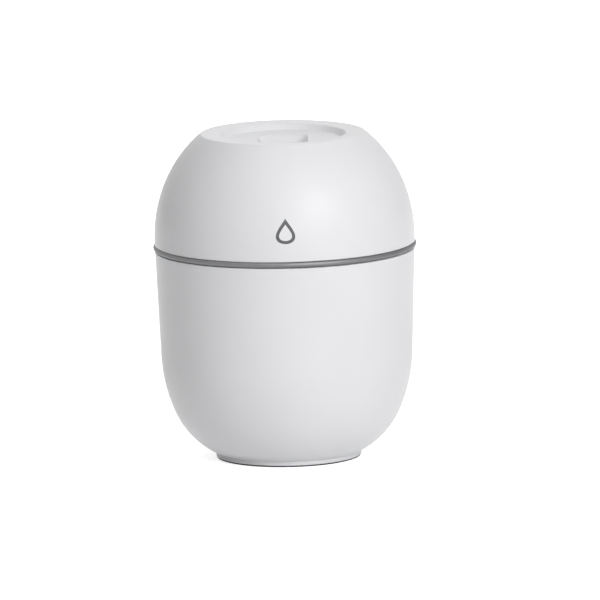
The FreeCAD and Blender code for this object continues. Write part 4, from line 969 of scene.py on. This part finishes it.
# ---------------------------------------------------------------------------------------
# Sub-assemblies
# ---------------------------------------------------------------------------------------
@dataclass
class WaterCup:
    """The cup with its rubber foot."""

    pad_flange: float = 0.5 * MM
    plug_radius: float = 19.5 * MM
    edge_round: float = 0.15 * MM
    groove_radii: tuple[float, ...] = (18.6 * MM, 14.6 * MM, 10.6 * MM)
    groove_half: float = 0.55 * MM
    groove_depth: float = 0.2 * MM
    # Place across the groove and depth, as shares of its half width and of its depth
    groove_shape: tuple[Point, ...] = ((1.0, 0.0), (0.8, 0.45), (0.4, 0.9), (0.0, 1.0),
                                       (-0.4, 0.9), (-0.8, 0.45), (-1.0, 0.0))
    edge_steps: int = 3
    segments: int = 128

    def build(self) -> None:
        """Dress the cup and build the foot pad."""
        dress(SHOP.shell, "water_cup")
        self.build_foot_pad()

    def build_foot_pad(self) -> None:
        """Rubber pad with a rounded edge and shallow rings under it."""
        low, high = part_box("foot_pad")
        radius, top = high.x, high.z
        profile: list[Point] = [(0.0, top), (self.plug_radius, top), (self.plug_radius, self.pad_flange),
                                (radius - self.edge_round, self.pad_flange)]
        for step in range(1, 2 * self.edge_steps + 1):
            angle = math.pi / 2 * (1 - step / self.edge_steps)
            height = self.pad_flange - self.edge_round if step <= self.edge_steps else self.edge_round
            profile.append((radius - self.edge_round * (1 - math.cos(angle)),
                            low.z + height + self.edge_round * math.sin(angle)))
        for middle in self.groove_radii:
            for share, depth in self.groove_shape:
                profile.append((middle + share * self.groove_half, low.z + depth * self.groove_depth))
        profile.append((0.0, low.z))
        pad = Piece("foot_pad_ribbed", "cup", "foot_rubber", SHOP.foot)
        lathe(pad.mesh, profile, Vector(), self.segments)
        pad.make(replaces=["foot_pad"])


@dataclass
class Cover:
    """The dome with its printed mark, the trim ring, the chassis under it and the screws."""

    mark_x: float = 0.3 * MM
    mark_z: float = 74.0 * MM
    mark_width: float = 4.1 * MM
    mark_height: float = 3.75 * MM
    inner_width: float = 2.75 * MM
    inner_height: float = 2.45 * MM
    inner_drop: float = 0.4 * MM
    mark_points: int = 120
    shoulder_power: float = 1.5
    cast_from: float = -200.0 * MM
    # Share of the way across the line, and height over the dome in millimetres
    ink_profile: tuple[Point, ...] = ((0.0, -0.03), (0.0, 0.012), (0.08, 0.025), (0.5, 0.028),
                                      (0.92, 0.025), (1.0, 0.012), (1.0, -0.03))

    def build(self) -> None:
        """Dress the cover's nodes and print the mark."""
        dress(SHOP.shell, "dome_cover")
        dress(SHOP.trim, "trim_ring")
        dress(SHOP.chassis, "inner_chassis")
        dress(SHOP.silicone, "collar_seal")
        dress(SHOP.screw, "chassis_screws")
        self.build_mark()

    def drop(self, width: float, height: float, lift: float) -> list[Point]:
        """Draw the outline of a water drop, point up.

        Args:
            width: Width factor.
            height: Half height.
            lift: Rise of the middle.

        Returns:
            Points across and up, in metres.
        """
        points = []
        for step in range(self.mark_points):
            angle = math.tau * step / self.mark_points
            points.append((width * math.sin(angle) * abs(math.sin(angle / 2)) ** self.shoulder_power,
                           height * math.cos(angle) + lift))
        return points

    def build_mark(self) -> None:
        """Plain water drop, printed as a line that follows the dome."""
        shell = bmesh.new()
        shell.from_mesh(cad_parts["dome_cover"].data)
        tree = BVHTree.FromBMesh(shell)
        shell.free()
        outer = self.drop(self.mark_width, self.mark_height, 0.0)
        inner = self.drop(self.inner_width, self.inner_height, -self.inner_drop)
        mark = Piece("drop_mark", "cover", "screw_steel", SHOP.ink, sharp=60.0)
        rings = []
        for start, end in zip(outer, inner):
            ring = []
            for share, height in self.ink_profile:
                across = self.mark_x + start[0] + share * (end[0] - start[0])
                up = self.mark_z + start[1] + share * (end[1] - start[1])
                hit, normal, _, _ = tree.ray_cast(Vector((across, self.cast_from, up)), BACKWARD)
                ring.append(mark.mesh.verts.new(hit + normal * height * MM))
            rings.append(ring)
        close_rings(mark.mesh, rings, loop=True)
        mark.make()


class Button:
    """The button in the dish with its switch and switch board."""

    def build(self) -> None:
        """Dress the button's nodes."""
        dress(SHOP.shell, "button_cap")
        dress(SHOP.switch, "switch_plunger")
        dress(SHOP.black, "tact_switch")
        dress(SHOP.board, "switch_board")
        dress(SHOP.screw, "switch_board_screws")
        dress(SHOP.lead_white, "switch_leads")


@dataclass
class MistMaker:
    """Piezo ring and mesh plate in their gaskets, held by the clamp."""

    dome_radius: float = 2.3 * MM
    dome_rise: float = 0.28 * MM
    dome_skirt: float = 0.1 * MM
    dome_steps: int = 12
    segments: int = 72

    def build(self) -> None:
        """Dress the nodes and build the raised middle of the mesh plate."""
        dress(SHOP.silicone, "atomizer_gasket_upper", "atomizer_gasket_lower")
        dress(SHOP.piezo, "piezo_ring")
        dress(SHOP.mist_mesh, "mesh_plate")
        dress(SHOP.chassis, "atomizer_clamp")
        dress(SHOP.screw, "clamp_screws")
        dress(SHOP.lead_red, "atomizer_leads")
        self.build_mesh_dome()

    def build_mesh_dome(self) -> None:
        """Shallow pressed dome with the fine holes."""
        _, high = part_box("mesh_plate")
        profile: list[Point] = [(0.0, -self.dome_skirt), (self.dome_radius, -self.dome_skirt)]
        for step in range(self.dome_steps + 1):
            share = 1 - step / self.dome_steps
            profile.append((self.dome_radius * share,
                            self.dome_rise * (0.5 + 0.5 * math.cos(math.pi * share))))
        dome = Piece("mist_mesh_dome", "cover", "mesh_steel", SHOP.mist_mesh)
        lathe(dome.mesh, profile, Vector((0.0, 0.0, high.z)), self.segments)
        dome.make()


@dataclass
class UsbSocket:
    """Socket shell and tongue with its contacts."""

    contacts: int = 12
    pitch: float = 0.5 * MM
    contact_half: float = 0.13 * MM
    blade_half: float = 0.35 * MM
    proud: float = 0.03 * MM
    tip_gap: float = 0.4 * MM
    contact_length: float = 4.6 * MM
    contact_bevel: float = 0.015 * MM

    def build(self) -> None:
        """Dress the socket and lay its contacts."""
        dress(SHOP.socket, "usb_shell")
        dress(SHOP.black, "usb_tongue")
        low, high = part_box("usb_tongue")
        middle = (low.z + high.z) / 2
        rear, front = high.y - self.tip_gap - self.contact_length, high.y - self.tip_gap
        strips = Piece("usb_contacts", "cover", "socket_steel", SHOP.contact, bevel=self.contact_bevel)
        for index in range(self.contacts):
            across = (index - (self.contacts - 1) / 2) * self.pitch
            for side in (-1, 1):
                face = middle + side * self.blade_half
                low_z, high_z = sorted((face - side * self.proud, face + side * self.proud))
                block(strips.mesh, Vector((across - self.contact_half, rear, low_z)),
                      Vector((across + self.contact_half, front, high_z)))
        strips.make()


@dataclass
class Electronics:
    """Main board with its components."""

    winding_radius: float = 2.78 * MM
    wire_radius: float = 0.16 * MM
    turns: int = 8
    turn_steps: int = 40
    coil_flange: float = 0.8 * MM
    flange_gap: float = 0.208 * MM
    leg_count: int = 7
    leg_pitch: float = 0.52 * MM
    leg_half: float = 0.11 * MM
    leg_sheet: float = 0.12 * MM
    leg_level: float = 0.45
    leg_root: float = 0.1 * MM
    leg_out: float = 0.38 * MM
    ankle_out: float = 0.46 * MM
    toe_out: float = 0.8 * MM
    joint_radius: float = 0.75 * MM
    joint_height: float = 0.42 * MM
    joint_shares: tuple[float, ...] = (1.0, 0.85, 0.65, 0.45, 0.25, 0.1)
    joint_power: float = 1.6
    joint_dip: float = 0.02 * MM
    joint_sides: int = 28
    tab_out: float = 0.3 * MM
    tab_rows: tuple[float, float] = (1.2 * MM, 4.2 * MM)
    pin_half: float = 0.9 * MM
    pin_out: float = 0.5 * MM
    window_radius: float = 1.05 * MM
    window_rise: float = 0.12 * MM
    window_shares: tuple[float, ...] = (0.98, 0.85, 0.6, 0.3)
    window_sides: int = 48
    sink: float = 0.05 * MM

    def build(self) -> None:
        """Dress the board's nodes and build winding, legs, joints and LED windows."""
        dress(SHOP.board, "main_board")
        dress(SHOP.screw, "main_board_screws")
        dress(SHOP.black, "controller_chip")
        dress(SHOP.ferrite, "drive_coil")
        dress(SHOP.can, "filter_capacitor")
        dress(SHOP.led, "night_light_leds")
        dress(SHOP.header, "lead_headers")
        self.build_winding()
        self.build_legs()
        self.build_joints()
        self.build_windows()

    def build_winding(self) -> None:
        """Copper wire wound between the coil's flanges."""
        low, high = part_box("drive_coil")
        centre = Vector(((low.x + high.x) / 2, (low.y + high.y) / 2, 0.0))
        start = low.z + self.coil_flange + self.flange_gap
        end = high.z - self.coil_flange - self.flange_gap
        path = coil(centre, self.winding_radius, self.turns, self.turn_steps,
                    lambda turns: start + (end - start) * turns / self.turns)
        wire = Piece("coil_winding", "cover", "coil_ferrite", SHOP.copper)
        tube(wire.mesh, path, self.wire_radius, 8)
        wire.make()

    def build_legs(self) -> None:
        """Gull-wing legs along both sides of the chip."""
        low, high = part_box("controller_chip")
        shoulder = low.z + self.leg_level * (high.z - low.z)
        corners = ((-self.leg_half, 0.0), (self.leg_half, 0.0),
                   (self.leg_half, self.leg_sheet), (-self.leg_half, self.leg_sheet))
        legs = Piece("chip_legs", "cover", "socket_steel", SHOP.solder, sharp=30.0)
        for side, edge in ((-1, low.x), (1, high.x)):
            path = [(edge - side * self.leg_root, shoulder), (edge + side * self.leg_out, shoulder),
                    (edge + side * self.ankle_out, low.z + self.leg_sheet),
                    (edge + side * self.toe_out, low.z + self.leg_sheet)]
            for index in range(self.leg_count):
                along = (low.y + high.y) / 2 + (index - (self.leg_count - 1) / 2) * self.leg_pitch
                rings = [[legs.mesh.verts.new((across, along + shift, up - drop)) for shift, drop in corners]
                         for across, up in path]
                close_rings(legs.mesh, rings, loop=False)
                legs.mesh.faces.new(rings[0])
                legs.mesh.faces.new(rings[-1])
        legs.make()

    def build_joints(self) -> None:
        """Solder at the socket's tabs and beside the coil and the capacitor."""
        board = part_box("main_board")[1].z
        socket_low, socket_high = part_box("usb_shell")
        places = [Vector((across, socket_low.y + row, board))
                  for across in (socket_low.x - self.tab_out, socket_high.x + self.tab_out)
                  for row in self.tab_rows]
        for node in ("drive_coil", "filter_capacitor"):
            low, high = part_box(node)
            places += [Vector(((low.x + high.x) / 2 + side * self.pin_half, high.y + self.pin_out, board))
                       for side in (-1, 1)]
        joints = Piece("solder_joints", "cover", "socket_steel", SHOP.solder)
        profile = [(0.0, -self.sink)] + [
            (self.joint_radius * share, self.joint_height * (1 - share) ** self.joint_power - self.joint_dip)
            for share in self.joint_shares] + [(0.0, self.joint_height)]
        for spot in places:
            lathe(joints.mesh, profile, spot, self.joint_sides)
        joints.make()

    def build_windows(self) -> None:
        """Phosphor window on top of each LED."""
        low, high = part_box("night_light_leds")
        half = (high.y - low.y) / 2
        windows = Piece("led_windows", "cover", "led_plastic", SHOP.phosphor)
        profile = [(0.0, -self.sink), (self.window_radius, -self.sink)] + [
            (self.window_radius * share, self.window_rise * (1 - share * share))
            for share in self.window_shares] + [(0.0, self.window_rise)]
        for across in (low.x + half, high.x - half):
            lathe(windows.mesh, profile, Vector((across, low.y + half, high.z)), self.window_sides)
        windows.make()


@dataclass
class WickHolder:
    """Holder tube, end cap, seal and spring."""

    wire_radius: float = 0.3 * MM
    wire_sides: int = 12
    turns: float = 6.5
    closed_turns: float = 0.9
    closed_pitch: float = 0.64 * MM
    steps_per_turn: int = 40
    wick_travel: float = 3.0 * MM

    def build(self) -> None:
        """Dress the holder's nodes and wind the spring."""
        dress(SHOP.chassis, "wick_holder", "holder_cap")
        dress(SHOP.silicone, "holder_seal")
        self.build_spring()

    def rise(self, turns: float, height: float) -> float:
        """Work out how far the wire has risen, with closely wound ends.

        Args:
            turns: Turns from the lower end.
            height: Height of the whole winding.

        Returns:
            The height over the lower end.
        """
        open_turns = self.turns - 2 * self.closed_turns
        open_pitch = (height - 2 * self.closed_turns * self.closed_pitch) / open_turns
        opened = min(max(turns - self.closed_turns, 0.0), open_turns)
        return (turns - opened) * self.closed_pitch + opened * open_pitch

    def build_spring(self) -> None:
        """Wind the spring."""
        low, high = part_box("wick_spring")
        radius = (high.x - low.x) / 2 - self.wire_radius
        height = high.z - low.z - 2 * self.wire_radius
        foot = Vector((0.0, 0.0, low.z + self.wire_radius))
        path = coil(foot, radius, self.turns, self.steps_per_turn, lambda turns: self.rise(turns, height))
        spring = Piece("wick_spring_coiled", "holder", "spring_steel", SHOP.spring)
        tube(spring.mesh, path, self.wire_radius, self.wire_sides)
        thing = spring.make(replaces=["wick_spring"])
        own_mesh(thing)


@dataclass
class Wick:
    """Pressed cotton wick."""

    ring_step: float = 0.7 * MM
    segments: int = 72
    swell: float = 0.07 * MM
    lump_height: float = 6.0 * MM
    lump_scale: float = 1.7
    dimple_scale: float = 6.0
    dimple_share: float = 0.4
    wrap_rise: float = 0.09 * MM
    wrap_angle: float = 0.6
    wrap_width: float = 0.09
    end_length: float = 0.6 * MM
    foot_bevel: float = 0.18 * MM
    # How far in from the side and how far down from the tip each ring lies
    tip_shape: tuple[Point, ...] = ((0.0, 0.7 * MM), (0.36 * MM, 0.2 * MM), (0.8 * MM, 0.08 * MM))
    tip_crown: float = 0.04 * MM

    def surface(self, radius: float, height: float, turns: float) -> Vector:
        """Find a point on the lumpy side of the wick, with the raised edge of its wrap.

        Args:
            radius: Plain radius.
            height: Height in metres.
            turns: Turns round the wick from +X.

        Returns:
            The point.
        """
        spot = around(1.0, turns, height / self.lump_height)
        lump = (noise.noise(spot * self.lump_scale)
                + noise.noise(spot * self.dimple_scale) * self.dimple_share) * self.swell
        off_wrap = math.remainder(math.tau * turns - self.wrap_angle, math.tau)
        seam = math.exp(-(off_wrap / self.wrap_width) ** 2) * self.wrap_rise
        return around(radius + lump + seam, turns, height)

    def build(self) -> None:
        """Build the wick in place of its plain solid."""
        low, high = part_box("cotton_wick")
        radius = high.x
        wick = Piece("cotton_wick_pressed", "wick", "cotton", SHOP.cotton, sharp=70.0)
        levels = [(radius - self.foot_bevel, low.z), (radius, low.z + self.foot_bevel)]
        count = int((high.z - low.z - 2 * self.end_length) / self.ring_step)
        levels += [(radius, low.z + self.end_length + step * self.ring_step) for step in range(count)]
        levels += [(radius - inward, high.z - down) for inward, down in self.tip_shape]
        rings: list[list[bmesh.types.BMVert]] = [[wick.mesh.verts.new((0.0, 0.0, low.z))]]
        for level_radius, height in levels:
            rings.append([wick.mesh.verts.new(self.surface(level_radius, height, step / self.segments))
                          for step in range(self.segments)])
        rings.append([wick.mesh.verts.new((0.0, 0.0, high.z - self.tip_crown))])
        close_rings(wick.mesh, rings, loop=False)
        wick.make(replaces=["cotton_wick"])


# ---------------------------------------------------------------------------------------
# Studio and camera
# ---------------------------------------------------------------------------------------
def spot_at(azimuth: float, elevation: float, distance: float, target: Vector) -> Vector:
    """Find a place round a target; azimuth 0 is in front and positive to the right.

    Args:
        azimuth: Degrees round the object.
        elevation: Degrees over the horizon.
        distance: Metres from the target.
        target: Point looked from.

    Returns:
        The place.
    """
    turn_angle, rise = math.radians(azimuth), math.radians(elevation)
    return target + distance * Vector((math.sin(turn_angle) * math.cos(rise),
                                       -math.cos(turn_angle) * math.cos(rise), math.sin(rise)))


def aim(place: Vector, target: Vector, roll: float = 0.0) -> Matrix:
    """Point a lamp or camera.

    Args:
        place: Where it stands.
        target: Point that it looks at.
        roll: Degrees that it is turned about its own axis.

    Returns:
        Its matrix.
    """
    turned = (target - place).to_track_quat("-Z", "Y").to_matrix().to_4x4()
    return Matrix.Translation(place) @ turned @ Matrix.Rotation(math.radians(roll), 4, "Z")


@dataclass(frozen=True)
class SoftBox:
    """Square soft light; its strength is what it adds to a white surface that faces it."""

    name: str
    azimuth: float
    elevation: float
    strength: float
    side: float = 1.2
    distance: float = 1.4
    mirrored: bool = True

    def place(self, target: Vector) -> None:
        """Hang the light.

        Args:
            target: Point that it looks at.
        """
        data = bpy.data.lights.new(self.name, "AREA")
        data.shape, data.size = "SQUARE", self.side
        data.energy = self.strength * (math.pi * self.distance) ** 2
        lamp = stand(self.name, data)
        lamp.matrix_world = aim(spot_at(self.azimuth, self.elevation, self.distance, target), target)
        lamp.visible_camera = False
        lamp.visible_glossy = self.mirrored
        LOG.info("light %s hung", self.name)


@dataclass
class Studio:
    """White floor, white surroundings and soft boxes."""

    lights: tuple[SoftBox, ...] = (
        SoftBox("key_box", azimuth=25.0, elevation=35.0, strength=0.35),
        SoftBox("spot_box", azimuth=33.0, elevation=30.0, strength=0.17, side=0.35),
        SoftBox("low_box", azimuth=25.0, elevation=10.0, strength=0.33),
        SoftBox("left_box", azimuth=-60.0, elevation=60.0, strength=0.10),
        SoftBox("top_box", azimuth=0.0, elevation=86.0, strength=0.15, side=1.1),
        SoftBox("back_box", azimuth=180.0, elevation=48.0, strength=0.20),
        SoftBox("fill_box", azimuth=180.0, elevation=8.0, strength=0.26, side=0.7, mirrored=False),
    )
    aim_height: float = 50.0 * MM
    ambient: float = 0.10
    floor_size: float = 6.0
    floor_squares: int = 8
    floor_drop: float = 0.02 * MM
    floor_colour: Colour = (0.93, 0.93, 0.93)
    floor_tone: float = 0.995
    floor_lift: float = 0.7
    shadow_reach: tuple[float, float] = (0.16, 0.45)

    def seen(self, graph: Graph) -> bpy.types.NodeSocket:
        """Tell whether the ray comes from the camera, a reflection or glass.

        Args:
            graph: Tree to add to.

        Returns:
            1 if it does, else 0.
        """
        path = graph.add("ShaderNodeLightPath")
        total = graph.math("ADD", path.outputs["Is Camera Ray"], path.outputs["Is Glossy Ray"], clamp=True)
        return graph.math("ADD", total, path.outputs["Is Transmission Ray"], clamp=True)

    def build(self) -> None:
        """Lay the floor, set the surroundings and hang the lights."""
        self.build_floor()
        self.build_surroundings()
        for light in self.lights:
            light.place(Vector((0.0, 0.0, self.aim_height)))

    def build_floor(self) -> None:
        """Lay the pale floor, which keeps the object's soft shadow."""
        mesh = bmesh.new()
        bmesh.ops.create_grid(mesh, x_segments=self.floor_squares, y_segments=self.floor_squares,
                              size=self.floor_size / 2)
        data = bpy.data.meshes.new("floor")
        mesh.to_mesh(data)
        mesh.free()
        floor = stand("floor", data)
        floor.location.z = -self.floor_drop
        material = bpy.data.materials.new("floor_white")
        material.use_nodes = True
        graph = Graph(material.node_tree)
        material.node_tree.nodes.clear()
        place = graph.place()
        lift = graph.ramp(graph.length(place), *self.shadow_reach, self.floor_lift, 1.0)
        paper = graph.mix(graph.noise(place, size=1.5, detail=3.0),
                          lighter(self.floor_colour, self.floor_tone), self.floor_colour)
        matt = graph.add("ShaderNodeBsdfDiffuse")
        graph.feed(matt, "Color", paper)
        glow = graph.add("ShaderNodeEmission")
        graph.feed(glow, "Strength", graph.math("MULTIPLY", lift, self.seen(graph)))
        both = graph.add("ShaderNodeAddShader")
        graph.feed(both, 0, matt.outputs[0])
        graph.feed(both, 1, glow.outputs[0])
        graph.feed(graph.add("ShaderNodeOutputMaterial"), "Surface", both.outputs[0])
        data.materials.append(material)

    def build_surroundings(self) -> None:
        """Make the world white where it is seen, and dimmer as light."""
        world = bpy.data.worlds.new("surroundings")
        bpy.context.scene.world = world
        world.use_nodes = True
        graph = Graph(world.node_tree)
        background = world.node_tree.nodes["Background"]
        background.inputs["Color"].default_value = (1.0, 1.0, 1.0, 1.0)
        seen = self.seen(graph)
        graph.feed(background, "Strength", graph.math(
            "ADD", self.ambient, graph.math("MULTIPLY", seen, 1.0 - self.ambient)))


@dataclass
class CameraRig:
    """Long lens in front of the object, a little above it."""

    azimuth: float = 0.0
    elevation: float = 9.3
    distance: float = 5.0
    roll: float = -1.15
    frame_width: float = 179.6 * MM
    sensor: float = 36.0
    target: Vector = field(default_factory=lambda: Vector((4.22 * MM, 0.0, 47.0 * MM)))

    def build(self) -> None:
        """Set up the camera."""
        data = bpy.data.cameras.new("camera")
        data.sensor_width = self.sensor
        data.lens = self.sensor * self.distance / self.frame_width
        camera = stand("camera", data)
        place = spot_at(self.azimuth, self.elevation, self.distance, self.target)
        camera.matrix_world = aim(place, self.target, self.roll)
        bpy.context.scene.camera = camera
        LOG.info("camera set, lens %.0f mm", data.lens)


def main() -> None:
    """Build the sub-assemblies in order, then the studio and the camera."""
    CameraRig().build()
    for assembly in (WaterCup(), Cover(), Button(), MistMaker(), UsbSocket(), Electronics(),
                     WickHolder(), Wick(), Studio()):
        assembly.build()
        LOG.info("%s done", type(assembly).__name__)
    bpy.context.scene.view_settings.view_transform = "Standard"
    bpy.context.view_layer.update()


if __name__ == "__main__":
    main()
